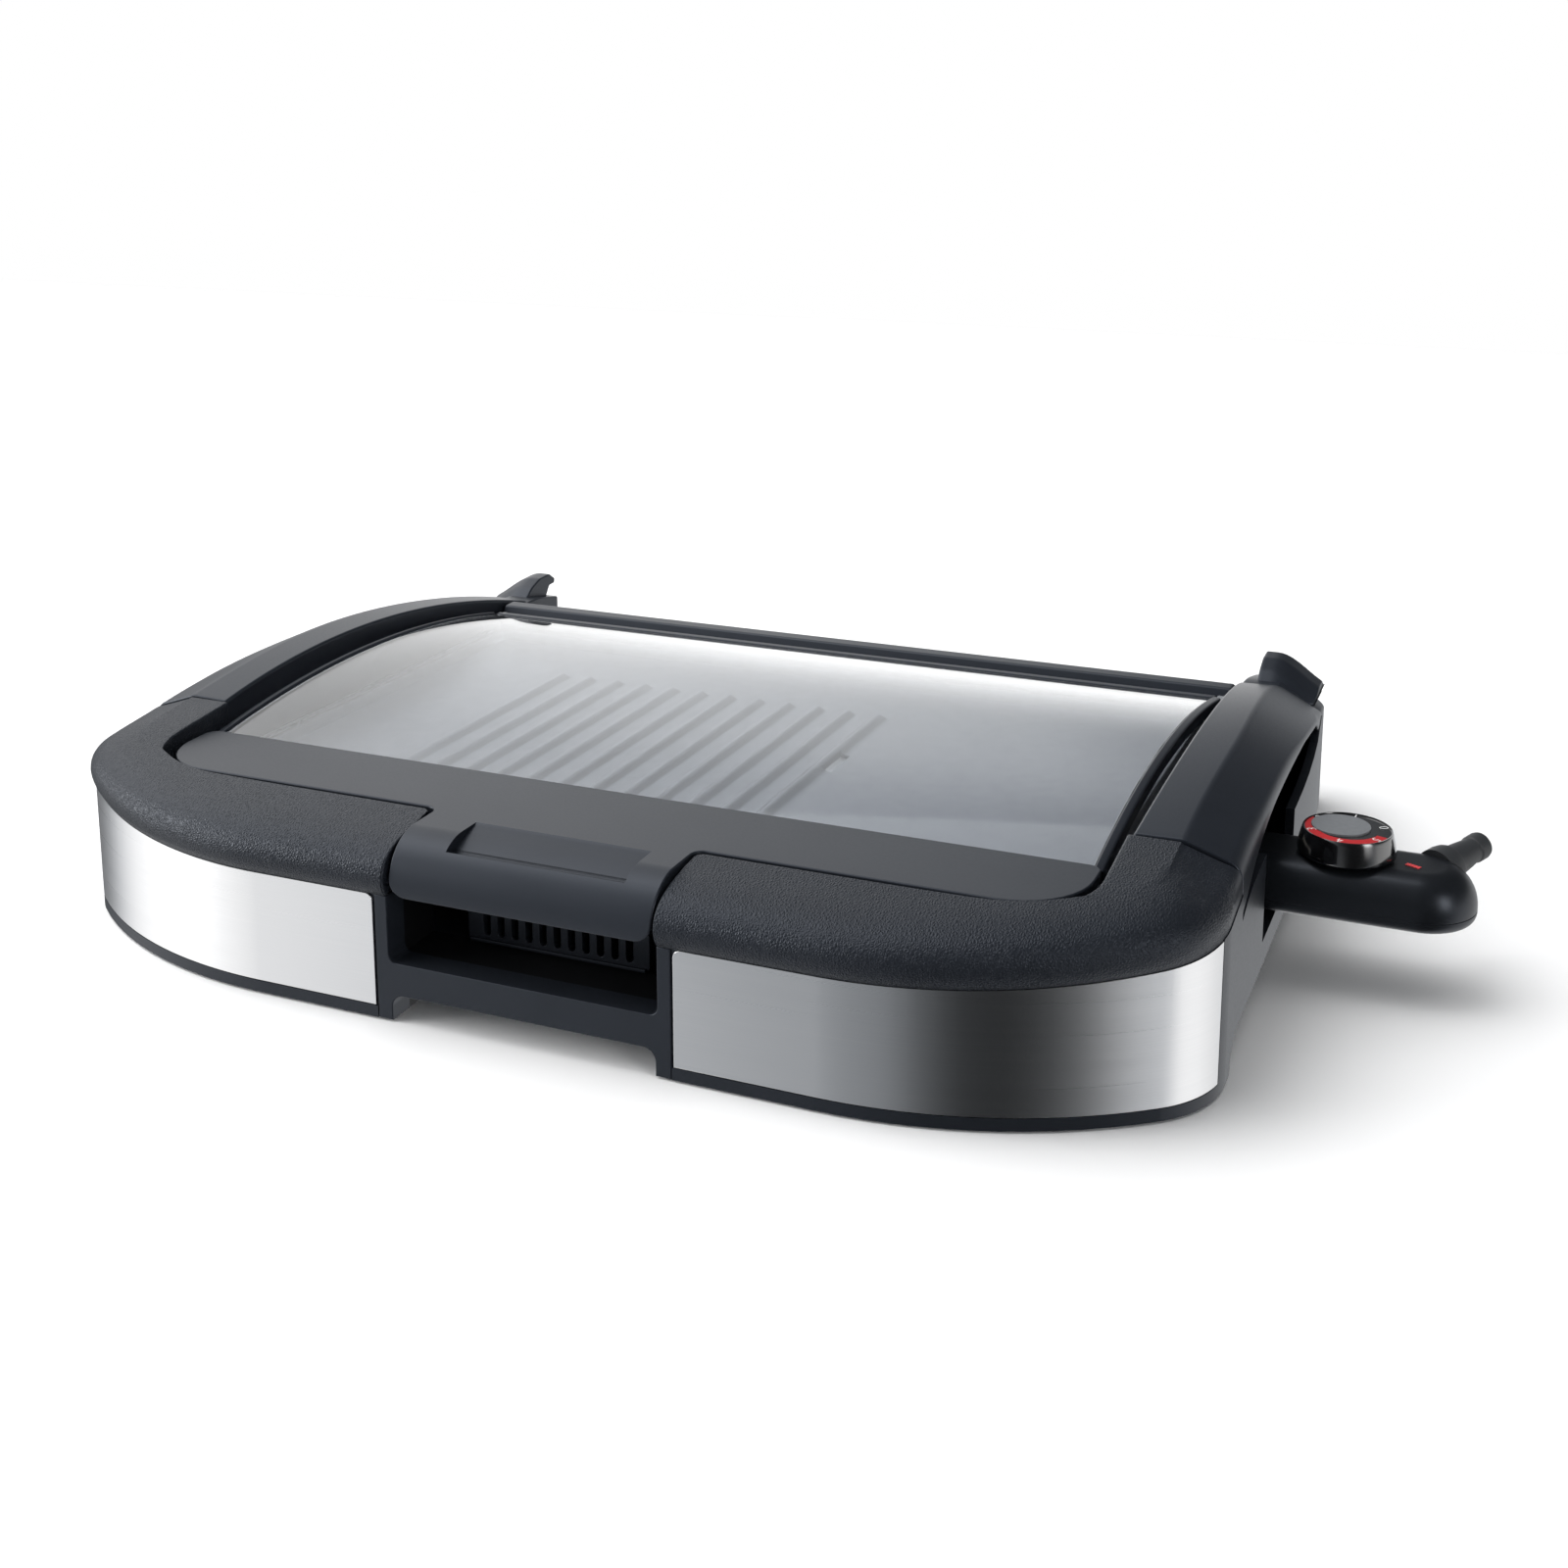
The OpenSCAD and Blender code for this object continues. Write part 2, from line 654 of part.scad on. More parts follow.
// Arched side rail that holds one long edge of the glass
module lid_rail_right() color([0.1, 0.1, 0.1]) from_front() intersection() {
    difference() {
        arch_solid(glass_r + 1.2);
        arch_solid(glass_r - glass_t - 2);
    }
    translate([glass_half + 0.1, 83.2, 60]) cube([4, 244, 50]);
}

module lid_rail_left() {
    mirror([1, 0, 0]) lid_rail_right();
}

module lid_seal() color([0.3, 0.1, 0.08]) from_front() both_sides()
    translate([80, 45, 68.1]) cube([90, 4, 2.5]);

module lid_screws() color([0.7, 0.7, 0.72]) from_front() both_sides()
    for (x = [100, 180]) translate([x, 60, 66.5]) cylinder(h = 3.8, r = 3, $fn = 32);

// ---------- controller ----------

controller_x0 = 232;
controller_end = side_x + 58;
controller_split = 38;
knob_x = 289;
knob_z = controller_z1 + 0.4;

lens_at = [316.5, controller_y - 4];
lens_turn = -25;

module lens_place() {
    translate([lens_at[0], lens_at[1], controller_z1]) rotate([0, 0, lens_turn]) children();
}

controller_wall = 2.2;

module controller_plan(inset) {
    translate([controller_x0 + inset, controller_y - controller_half + inset])
        square([controller_end - controller_x0 - inset, 2 * (controller_half - inset)]);
    translate([controller_end, controller_y]) circle(controller_half - inset);
}

module controller_layers(shrink) {
    steps = [[0, 7], [2, 3.4], [5, 1], [9, 0]];
    span = (controller_z1 - controller_z0) / 2;
    mid = (controller_z1 + controller_z0) / 2;
    hull() for (s = steps, m = [-1, 1]) {
        z = mid + m * (span - s[0] - shrink - 0.05);
        translate([0, 0, z - 0.05]) linear_extrude(0.1) controller_plan(s[1] + shrink, $fn = 48);
    }
}

module controller_body(z0, z1) {
    difference() {
        intersection() {
            controller_layers(0);
            translate([0, 0, z0]) cube([far, far, z1 - z0]);
        }
        controller_layers(controller_wall);
    }
}

module controller_lower() color([0.1, 0.1, 0.1]) from_front() difference() {
    controller_body(controller_z0 - 1, controller_split);
    // mouth for the contact sleeves
    translate([225, controller_y - 18, 36]) cube([16, 36, 16.5]);
    relief_shape(0.1);
}

module controller_upper() color([0.11, 0.11, 0.11]) from_front() difference() {
    controller_body(controller_split + 0.15, controller_z1 + 1);
    translate([225, controller_y - 18, 36]) cube([16, 36, 16.5]);
    translate([knob_x, controller_y, 40]) cylinder(h = 30, r = shaft_r + shaft_clearance, $fn = 48);
    lens_place() translate([-3.2, -1.2, -10]) cube([6.4, 2.4, 30]);
    relief_shape(0.1);
}

relief_at = [319, controller_y + 2, 46.5];
relief_turn = 61;
relief_rise = 6.7;
relief_len = 45;
relief_r = 5.5;
cord_bore_r = 3.5;
cord_bore_len = 20;

module relief_place() {
    translate(relief_at) rotate([0, 0, relief_turn]) rotate([0, 90 - relief_rise, 0]) children();
}

module relief_shape(grow) {
    relief_place() {
        translate([0, 0, 14]) cylinder(h = relief_len - 14, r = relief_r + grow, $fn = 48);
        translate([0, 0, 20]) cylinder(h = 13, r1 = 8 + grow, r2 = relief_r + grow, $fn = 48);
        translate([0, 0, relief_len - 7]) cylinder(h = 7, r = relief_r + 0.5, $fn = 48);
    }
}

module strain_relief() color([0.09, 0.09, 0.09]) from_front() difference() {
    relief_shape(0);
    relief_place() translate([0, 0, relief_len - cord_bore_len]) cylinder(h = 30, r = cord_bore_r, $fn = 48);
}

module probe_rod() color([0.75, 0.75, 0.75]) from_front()
    translate([186, controller_y, probe_z]) rotate([0, 90, 0]) {
        cylinder(h = 60, r = probe_r, $fn = 48);
        sphere(r = probe_r, $fn = 48);
    }

module contact_sleeves() color([0.8, 0.7, 0.4]) from_front()
    for (s = [-1, 1]) translate([226, controller_y + pin_y * s, pin_z]) rotate([0, 90, 0]) difference() {
        cylinder(h = 20, r = 3.8, $fn = 48);
        translate([0, 0, -1]) cylinder(h = 19.5, r = contact_r + 0.3, $fn = 48);
    }

module sleeve_carrier() color([0.25, 0.25, 0.25]) from_front() difference() {
    translate([246, controller_y - 16, 41]) cube([4, 32, 9.6]);
    translate([240, controller_y, probe_z]) rotate([0, 90, 0]) cylinder(h = 20, r = probe_r, $fn = 48);
}

module thermostat_switch() color([0.6, 0.55, 0.45]) from_front()
    translate([knob_x - 12, controller_y - 9, 36]) cube([24, 18, 7.5]);

module indicator_lens() color([0.8, 0.1, 0.1]) from_front()
    lens_place() translate([-3.1, -1.1, -2.8]) cube([6.2, 2.2, 3.1]);

module indicator_lamp() color([0.9, 0.5, 0.3]) from_front()
    lens_place() translate([0, 0, -9]) cylinder(h = 5.5, r = 2, $fn = 32);

module controller_screws() color([0.7, 0.7, 0.72]) from_front()
    for (p = [[262, -12], [262, 12], [325, -8]])
        translate([p[0], controller_y + p[1], controller_z0 + 2.4]) cylinder(h = 9, r = 1.6, $fn = 32);

// ---------- knob ----------

module knob() color([0.03, 0.03, 0.03]) from_front() translate([knob_x, controller_y, knob_z]) difference() {
    union() {
        cylinder(h = knob_h - 1.5, r = knob_r);
        translate([0, 0, knob_h - 1.5]) cylinder(h = 1.5, r1 = knob_r, r2 = knob_r - 1.5);
    }
    translate([0, 0, knob_h - 0.6]) cylinder(h = 2, r = 17.9);
    translate([0, 0, -1]) cylinder(h = 6, r = shaft_r, $fn = 48);
}

module dial_ring() color([0.75, 0.08, 0.06]) from_front()
    translate([knob_x, controller_y, knob_z + knob_h - 0.6]) difference() {
        cylinder(h = 0.5, r = 17.8);
        translate([-3, 2, -1]) cylinder(h = 3, r = 12.4);
    }

module knob_disc() color([0.5, 0.5, 0.52]) from_front()
    translate([knob_x - 3, controller_y + 2, knob_z + knob_h - 0.6]) cylinder(h = 0.9, r = 12.3);

module knob_shaft() color([0.8, 0.8, 0.8]) from_front()
    translate([knob_x, controller_y, 43.6]) cylinder(h = knob_z + 5 - 43.6, r = shaft_r, $fn = 48);

// ---------- nodes ----------

base_shell();
front_frame();
bottom_plate();
trim_left();
trim_right();
corner_cover_left();
corner_cover_right();
handle_left();
handle_right();
rear_post_left();
rear_post_right();
rear_rail();
rear_panel();
inner_frame();
heat_pan();
grill_plate();
plate_feet();
heating_element();
element_clamps();
terminal_block();
contact_pins();
hinge_brackets();
hinge_pins();
tray_runners();
foot_pads();
base_screws();
handle_screws();
drip_tray();
lid_front_strip();
lid_glass();
lid_rear_bar();
lid_rail_left();
lid_rail_right();
lid_seal();
lid_screws();
controller_lower();
controller_upper();
strain_relief();
probe_rod();
contact_sleeves();
sleeve_carrier();
thermostat_switch();
indicator_lens();
indicator_lamp();
controller_screws();
knob();
knob_shaft();
dial_ring();
knob_disc();
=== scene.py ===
import math

import bmesh
import bpy
from mathutils import Matrix, Vector


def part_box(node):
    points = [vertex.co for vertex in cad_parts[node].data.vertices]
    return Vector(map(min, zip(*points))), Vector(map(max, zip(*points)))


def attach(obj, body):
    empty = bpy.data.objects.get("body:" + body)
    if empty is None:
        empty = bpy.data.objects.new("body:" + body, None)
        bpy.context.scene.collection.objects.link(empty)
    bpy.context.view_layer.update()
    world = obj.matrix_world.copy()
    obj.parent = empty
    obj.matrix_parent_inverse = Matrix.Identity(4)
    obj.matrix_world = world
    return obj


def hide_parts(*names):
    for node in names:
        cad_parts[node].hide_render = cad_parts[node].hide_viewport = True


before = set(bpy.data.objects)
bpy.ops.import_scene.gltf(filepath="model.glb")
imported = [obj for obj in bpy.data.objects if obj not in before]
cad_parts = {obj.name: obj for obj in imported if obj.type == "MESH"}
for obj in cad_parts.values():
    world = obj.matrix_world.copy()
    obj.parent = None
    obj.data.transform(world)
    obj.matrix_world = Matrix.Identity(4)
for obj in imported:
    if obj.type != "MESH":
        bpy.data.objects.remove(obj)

bpy.context.view_layer.update()

# Shapes are drawn in millimetres: x across, y back from the front face, z up from the table.
MM = 0.001
FRONT_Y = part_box("trim_right")[0].y


def at(x, y, z):
    """A drawn point in the frame's metres."""
    return Vector((x * MM, FRONT_Y + y * MM, z * MM))


def drawn_box(node):
    """Lowest and highest corner of a CAD node in drawn millimetres."""
    return [Vector((c.x / MM, (c.y - FRONT_Y) / MM, c.z / MM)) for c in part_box(node)]


def smooth(value, low, high):
    """0 below low, 1 above high, and an easy curve in between."""
    t = min(1.0, max(0.0, (value - low) / (high - low)))
    return t * t * (3 - 2 * t)


def mix(a, b, t):
    return a + (b - a) * t


# ---------- outlines ----------


def arc(centre, radius, start, end, steps):
    """Points on a circle, angles in degrees."""
    turns = [math.radians(mix(start, end, i / steps)) for i in range(steps + 1)]
    return [(centre[0] + radius * math.cos(a), centre[1] + radius * math.sin(a)) for a in turns]


def rounded(corners, steps=5, share=0.49):
    """Closed outline through corners (a, b, radius). A radius takes at most that share of each side,
    and a radius of 0 leaves the corner sharp."""
    points = []
    for i, (a, b, radius) in enumerate(corners):
        if not radius:
            points.append((a, b))
            continue
        here = Vector((a, b))
        back = Vector(corners[i - 1][:2]) - here
        ahead = Vector(corners[(i + 1) % len(corners)][:2]) - here
        half = back.angle(ahead) / 2
        reach = min(radius / math.tan(half), share * back.length, share * ahead.length)
        radius = reach * math.tan(half)
        back.normalize()
        ahead.normalize()
        centre = here + (back + ahead).normalized() * radius / math.sin(half)
        start = here + back * reach - centre
        end = here + ahead * reach - centre
        first = math.atan2(start.y, start.x)
        turn = (math.atan2(end.y, end.x) - first + math.pi) % (2 * math.pi) - math.pi
        for k in range(steps + 1):
            angle = first + turn * k / steps
            points.append((centre.x + radius * math.cos(angle), centre.y + radius * math.sin(angle)))
    return points


def even(points, count):
    """The same open line with count points, evenly spaced."""
    points = [Vector(p) for p in points]
    lengths = [0.0]
    for a, b in zip(points, points[1:]):
        lengths.append(lengths[-1] + (b - a).length)
    line, k = [], 0
    for i in range(count):
        goal = lengths[-1] * i / (count - 1)
        while k < len(points) - 2 and lengths[k + 1] < goal:
            k += 1
        span = max(lengths[k + 1] - lengths[k], 1e-9)
        line.append(points[k].lerp(points[k + 1], min(1.0, (goal - lengths[k]) / span)))
    return line


def curve_through(points, count):
    """A smooth open curve through the points."""
    points = [Vector(p) for p in points]
    ends = [2 * points[0] - points[1]] + points + [2 * points[-1] - points[-2]]
    fine = []
    for a, b, c, d in zip(ends, ends[1:], ends[2:], ends[3:]):
        for k in range(12):
            t = k / 12
            low = 2 * b + (c - a) * t
            fine.append(0.5 * (low + (2 * a - 5 * b + 4 * c - d) * t**2 + (3 * b - a - 3 * c + d) * t**3))
    return even(fine + [points[-1]], count)


# The plan outline of the body: a straight front, a wide arc, a tight shoulder and a faintly bowed side.
FRONT_HALF = 125
CORNER_R = 192
CORNER_TURN = math.radians(38.6)
SHOULDER_R = 45
BOW_Y = 240
BOW_R = 1285
wide_centre = Vector((FRONT_HALF, CORNER_R))
corner_way = Vector((math.sin(CORNER_TURN), -math.cos(CORNER_TURN)))
shoulder_centre = wide_centre + (CORNER_R - SHOULDER_R) * corner_way
SIDE_X = shoulder_centre.x + SHOULDER_R
WIDE_END = FRONT_HALF + CORNER_R * CORNER_TURN
SHOULDER_END = WIDE_END + SHOULDER_R * (math.pi / 2 - CORNER_TURN)


def outline(along, inset=0.0):
    """Point of the right half of the outline, along millimetres from the middle of the front."""
    if along < FRONT_HALF:
        return Vector((along, inset))
    if along < WIDE_END:
        a = (along - FRONT_HALF) / CORNER_R
        return wide_centre + (CORNER_R - inset) * Vector((math.sin(a), -math.cos(a)))
    if along < SHOULDER_END:
        a = CORNER_TURN + (along - WIDE_END) / SHOULDER_R
        return shoulder_centre + (SHOULDER_R - inset) * Vector((math.sin(a), -math.cos(a)))
    y = shoulder_centre.y + along - SHOULDER_END
    if y < BOW_Y:
        return Vector((SIDE_X - inset, y))
    a = (y - BOW_Y) / BOW_R
    return Vector((SIDE_X - BOW_R, BOW_Y)) + (BOW_R - inset) * Vector((math.cos(a), math.sin(a)))


def along_at(y):
    """Distance along the outline of the point at y on the side."""
    return SHOULDER_END + y - shoulder_centre.y


# ---------- mesh building ----------


def centroid(points):
    return sum(points, Vector((0, 0, 0))) / len(points)


def rounded_end(end, inner, edge, steps=3):
    """Rings that draw an end section in by edge while they come to its plane."""
    axis = (centroid(end) - centroid(inner)).normalized()
    count = len(end)
    area = sum((end[i - 1].cross(end[i]) for i in range(count)), Vector((0, 0, 0)))
    inward = -1 if area.dot(axis) > 0 else 1
    rings = []
    for k in range(steps + 1):
        a = math.pi / 2 * k / steps
        ring = []
        for i, point in enumerate(end):
            side = (end[(i + 1) % count] - end[i - 1]).normalized().cross(axis) * inward
            ring.append(point - axis * edge * (1 - math.sin(a)) + side * edge * (1 - math.cos(a)))
        rings.append(ring)
    return rings


def loft(sections, edge=0.0, closed=True):
    """A solid skinned over sections of equally many points, with its two ends rounded by edge."""
    sections = [[Vector(p) for p in s] for s in sections]
    if edge:
        first = rounded_end(sections[0], sections[1], edge)
        last = rounded_end(sections[-1], sections[-2], edge)
        sections = first[::-1] + sections[1:-1] + last
    bm = bmesh.new()
    rings = [[bm.verts.new(p) for p in s] for s in sections]
    count = len(rings[0])
    for a, b in zip(rings, rings[1:]):
        for i in range(count if closed else count - 1):
            j = (i + 1) % count
            bm.faces.new((a[i], a[j], b[j], b[i]))
    if closed:
        bm.faces.new(rings[0][::-1])
        bm.faces.new(rings[-1])
    return bm


def sheet(flat, thickness, edge, bend, cuts_a=(), cuts_b=()):
    """A sheet cut to a flat outline (a, b), with rounded outer edges, then bent.
    bend(a, b, depth) places the point that lies depth under the outer face."""
    bm = bmesh.new()
    face = bm.faces.new([bm.verts.new((a, b, 0)) for a, b in flat])
    made = bmesh.ops.extrude_face_region(bm, geom=[face])["geom"]
    for v in made:
        if isinstance(v, bmesh.types.BMVert):
            v.co.z = -thickness
    rim = [e for e in bm.edges if all(abs(v.co.z) < 1e-6 for v in e.verts)]
    bmesh.ops.bevel(bm, geom=rim, offset=edge, segments=3, profile=0.5, affect="EDGES")
    for cuts, normal in ((cuts_a, Vector((1, 0, 0))), (cuts_b, Vector((0, 1, 0)))):
        for c in cuts:
            every = bm.verts[:] + bm.edges[:] + bm.faces[:]
            bmesh.ops.bisect_plane(bm, geom=every, dist=1e-5, plane_co=normal * c, plane_no=normal)
    uv = bm.loops.layers.uv.new("flat")
    for f in bm.faces:
        for loop in f.loops:
            loop[uv].uv = (loop.vert.co.x * MM, loop.vert.co.y * MM)
    for v in bm.verts:
        v.co = bend(v.co.x, v.co.y, -v.co.z)
    return bm


def lathe(profile, steps=96, place=Matrix.Identity(4)):
    """A solid of revolution about local z from (radius, z) points. A radius of 0 closes it."""
    bm = bmesh.new()
    rings = []
    for radius, z in profile:
        if radius < 1e-6:
            rings.append([bm.verts.new((0, 0, z))])
        else:
            turns = [2 * math.pi * i / steps for i in range(steps)]
            rings.append([bm.verts.new((radius * math.cos(a), radius * math.sin(a), z)) for a in turns])
    for a, b in zip(rings, rings[1:]):
        for i in range(steps):
            j = (i + 1) % steps
            if len(a) == 1:
                bm.faces.new((a[0], b[j], b[i]))
            elif len(b) == 1:
                bm.faces.new((a[i], a[j], b[0]))
            else:
                bm.faces.new((a[i], a[j], b[j], b[i]))
    bm.transform(place)
    return bm


def block(low, high, edge):
    """A box with bevelled edges."""
    bm = bmesh.new()
    spans = list(zip(low, high))
    verts = [bm.verts.new((x, y, z)) for x in spans[0] for y in spans[1] for z in spans[2]]
    for a, b, c, d in ((0, 1, 3, 2), (4, 6, 7, 5), (0, 4, 5, 1), (2, 3, 7, 6), (0, 2, 6, 4), (1, 5, 7, 3)):
        bm.faces.new((verts[a], verts[b], verts[c], verts[d]))
    bmesh.ops.bevel(bm, geom=bm.edges[:], offset=edge, segments=2, profile=0.5, affect="EDGES")
    return bm


def joined(*parts):
    """One mesh from several."""
    whole = bmesh.new()
    for part in parts:
        mesh = bpy.data.meshes.new("part")
        part.to_mesh(mesh)
        part.free()
        whole.from_mesh(mesh)
        bpy.data.meshes.remove(mesh)
    return whole


def mirrored(bm):
    """A copy on the other side of the middle plane."""
    copy = bm.copy()
    for v in copy.verts:
        v.co.x = -v.co.x
    bmesh.ops.reverse_faces(copy, faces=copy.faces)
    return copy


def piece(name, bm, body, finish, replaces=(), sharp=30, loose=False):
    """Turns a drawn mesh into a shown object that rides on a body and stands for CAD nodes."""
    bmesh.ops.remove_doubles(bm, verts=bm.verts, dist=2e-3)
    if not loose:
        bmesh.ops.recalc_face_normals(bm, faces=bm.faces)
    for v in bm.verts:
        v.co = at(*v.co)
    for f in bm.faces:
        f.smooth = True
    for e in bm.edges:
        e.smooth = e.calc_face_angle(0) < math.radians(sharp)
    mesh = bpy.data.meshes.new(name)
    bm.to_mesh(mesh)
    bm.free()
    thing = bpy.data.objects.new(name, mesh)
    bpy.context.collection.objects.link(thing)
    mesh.materials.append(materials[finish])
    even_shade = thing.modifiers.new("shade", "WEIGHTED_NORMAL")
    even_shade.keep_sharp = True
    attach(thing, body)
    if replaces:
        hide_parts(*replaces)
    return thing


def both(name, bm, body, finish, node, **more):
    """The right-hand piece and its mirror image, each in place of its CAD node."""
    other = mirrored(bm)
    made = piece(name + "_right", bm, body, finish, [node + "_right"], **more)
    return made, piece(name + "_left", other, body, finish, [node + "_left"], **more)


# ---------- materials ----------


class Shader:
    """A Principled material whose nodes are added with short calls."""

    def __init__(self, name, base, roughness, **settings):
        self.material = bpy.data.materials.new(name)
        self.material.use_nodes = True
        self.tree = self.material.node_tree
        self.surface = self.tree.nodes["Principled BSDF"]
        self.surface.inputs["Base Color"].default_value = (*base, 1)
        self.surface.inputs["Roughness"].default_value = roughness
        for key, value in settings.items():
            self.surface.inputs[key.replace("_", " ")].default_value = value
        self.place = self.node("ShaderNodeTexCoord").outputs["Object"]
        materials[name] = self.material

    def node(self, kind, **inputs):
        made = self.tree.nodes.new(kind)
        for key, value in inputs.items():
            self.give(made.inputs[key.replace("_", " ")], value)
        return made

    def give(self, socket, value):
        if isinstance(value, bpy.types.NodeSocket):
            self.tree.links.new(value, socket)
        else:
            socket.default_value = value

    def stretched(self, scale, source=None):
        """The position, scaled by a factor for each axis."""
        return self.node("ShaderNodeMapping", Vector=source or self.place, Scale=scale).outputs["Vector"]

    def noise(self, scale, detail=3.0, rough=0.55, vector=None):
        made = self.node(
            "ShaderNodeTexNoise", Vector=vector or self.place, Scale=scale, Detail=detail, Roughness=rough
        )
        return made.outputs["Fac"]

    def ranged(self, value, low, high, start=0.0, end=1.0):
        """value taken from the range low to high into the range start to end."""
        made = self.node("ShaderNodeMapRange", Value=value)
        for key, number in (("From Min", low), ("From Max", high), ("To Min", start), ("To Max", end)):
            made.inputs[key].default_value = number
        return made.outputs["Result"]

    def maths(self, operation, a, b):
        made = self.tree.nodes.new("ShaderNodeMath")
        made.operation = operation
        self.give(made.inputs[0], a)
        self.give(made.inputs[1], b)
        return made.outputs["Value"]

    def blend(self, factor, first, second):
        made = self.tree.nodes.new("ShaderNodeMix")
        made.data_type = "RGBA"
        self.give(made.inputs["Factor"], factor)
        self.give(made.inputs["A"], (*first, 1))
        self.give(made.inputs["B"], (*second, 1))
        return made.outputs["Result"]

    def colour(self, factor, first, second):
        self.give(self.surface.inputs["Base Color"], self.blend(factor, first, second))

    def roughness(self, value):
        self.give(self.surface.inputs["Roughness"], value)

    def bump(self, height, depth, strength=1.0):
        """Relief of the given depth in metres. Calls add up."""
        made = self.node("ShaderNodeBump", Height=height, Distance=depth, Strength=strength)
        normal = self.surface.inputs["Normal"]
        if normal.links:
            self.give(made.inputs["Normal"], normal.links[0].from_socket)
        self.give(normal, made.outputs["Normal"])


materials = {}


def moulded(name, dark, light, rough, grain_depth=0.000012, **settings):
    """Moulded plastic: a fine spark-eroded grain, slight mottling and uneven gloss."""
    s = Shader(name, dark, rough, **settings)
    cloud = s.noise(35, 4)
    s.colour(s.ranged(cloud, 0.3, 0.7), dark, light)
    s.roughness(s.ranged(s.noise(900, 2), 0.3, 0.7, rough - 0.015, rough + 0.02))
    s.bump(s.noise(2600, 2, 0.6), grain_depth, 0.4)
    return s


COOL = (0.80, 0.87, 1.0, 1.0)
moulded("satin_black", (0.0108, 0.0128, 0.0170), (0.0130, 0.0153, 0.0200), 0.36, Specular_IOR_Level=0.35,
        Specular_Tint=COOL)
moulded("base_black", (0.0100, 0.0118, 0.0155), (0.0120, 0.0140, 0.0182), 0.38, Specular_IOR_Level=0.36,
        Specular_Tint=COOL)
# A darker copy of the black plastic: painted shade for the shelf, walls and legs deep in the opening.
moulded("shade_painted_black", (0.0035, 0.0038, 0.0045), (0.0045, 0.0048, 0.0055), 0.5, Specular_IOR_Level=0.2)
moulded("controller_black", (0.0062, 0.0070, 0.0086), (0.0080, 0.0090, 0.0108), 0.32, Specular_IOR_Level=0.40,
        Specular_Tint=COOL)
moulded("rubber_black", (0.020, 0.0215, 0.024), (0.027, 0.029, 0.032), 0.58, 0.00004)
moulded("silicone", (0.20, 0.03, 0.02), (0.26, 0.045, 0.03), 0.55)
moulded("ceramic", (0.62, 0.60, 0.54), (0.72, 0.70, 0.64), 0.55)

# Leather-like grain: warped cells with creases, only where the mesh carries the grain attribute.
s = moulded("grained_black", (0.0090, 0.0107, 0.0142), (0.0112, 0.0132, 0.0174), 0.38,
            Specular_IOR_Level=0.30, Specular_Tint=COOL)
warp = s.node("ShaderNodeTexNoise", Vector=s.place, Scale=420.0, Detail=2.0).outputs["Color"]
moved = s.tree.nodes.new("ShaderNodeVectorMath")
moved.operation = "MULTIPLY_ADD"
s.give(moved.inputs[0], warp)
moved.inputs[1].default_value = (0.0011, 0.0011, 0.0011)
s.give(moved.inputs[2], s.place)
squeezed = s.stretched((1.0, 0.55, 1.0), moved.outputs["Vector"])
cells = s.node("ShaderNodeTexVoronoi", Vector=squeezed, Scale=900.0)
cells.feature = "DISTANCE_TO_EDGE"
crease = s.ranged(cells.outputs["Distance"], 0.0, 0.35)
grain = s.node("ShaderNodeAttribute")
grain.attribute_name = "grain"
s.bump(crease, 0.00016, s.maths("MULTIPLY", grain.outputs["Fac"], 0.85))
s.bump(s.noise(1300, 3), 0.00011, s.maths("MULTIPLY", grain.outputs["Fac"], 0.8))

# Brushed steel: long fine scratches along the strip.
s = Shader("brushed_trim", (0.74, 0.74, 0.745), 0.30, Metallic=1.0, Anisotropic=0.85,
           Anisotropic_Rotation=0.25)
flat_map = s.node("ShaderNodeUVMap")
flat_map.uv_map = "flat"
streaks = s.noise(1.0, 4, 0.7, s.stretched((9.0, 5200.0, 1.0), flat_map.outputs["UV"]))
bands = s.noise(1.0, 3, 0.6, s.stretched((3.0, 700.0, 1.0), flat_map.outputs["UV"]))
s.colour(s.ranged(streaks, 0.3, 0.7), (0.71, 0.715, 0.725), (0.76, 0.76, 0.765))
s.roughness(s.ranged(bands, 0.3, 0.7, 0.27, 0.31))
s.bump(streaks, 0.000002, 0.15)
tangent = s.node("ShaderNodeTangent")
tangent.direction_type = "UV_MAP"
tangent.uv_map = "flat"
s.give(s.surface.inputs["Tangent"], tangent.outputs["Tangent"])


def metal(name, base, tint, rough, spread=0.08, scale=(60.0, 60.0, 60.0)):
    """Bare metal with drawn or rolled unevenness."""
    s = Shader(name, base, rough, Metallic=1.0)
    cloud = s.noise(1.0, 4, 0.6, s.stretched(scale))
    s.colour(s.ranged(cloud, 0.3, 0.7), base, tint)
    s.roughness(s.ranged(cloud, 0.3, 0.7, rough - spread, rough + spread))
    s.bump(s.noise(900, 2), 0.00001, 0.3)


metal("bare_aluminium", (0.72, 0.73, 0.75), (0.80, 0.81, 0.82), 0.30, scale=(400.0, 40.0, 400.0))
metal("element_steel", (0.20, 0.18, 0.16), (0.30, 0.27, 0.24), 0.42)
metal("bright_steel", (0.62, 0.63, 0.65), (0.72, 0.73, 0.74), 0.24)
metal("contact_brass", (0.70, 0.55, 0.28), (0.80, 0.65, 0.36), 0.28)

# Non-stick coating: nearly black with fine pale flecks and a soft orange-peel surface.
s = Shader("coated_plate", (0.24, 0.25, 0.27), 0.36, Metallic=0.45)
flecks = s.ranged(s.noise(2400, 1), 0.66, 0.72)
s.colour(flecks, (0.235, 0.245, 0.270), (0.42, 0.43, 0.45))
s.roughness(s.ranged(s.noise(120, 4), 0.3, 0.7, 0.30, 0.42))
s.bump(s.noise(1400, 3), 0.00002, 0.4)

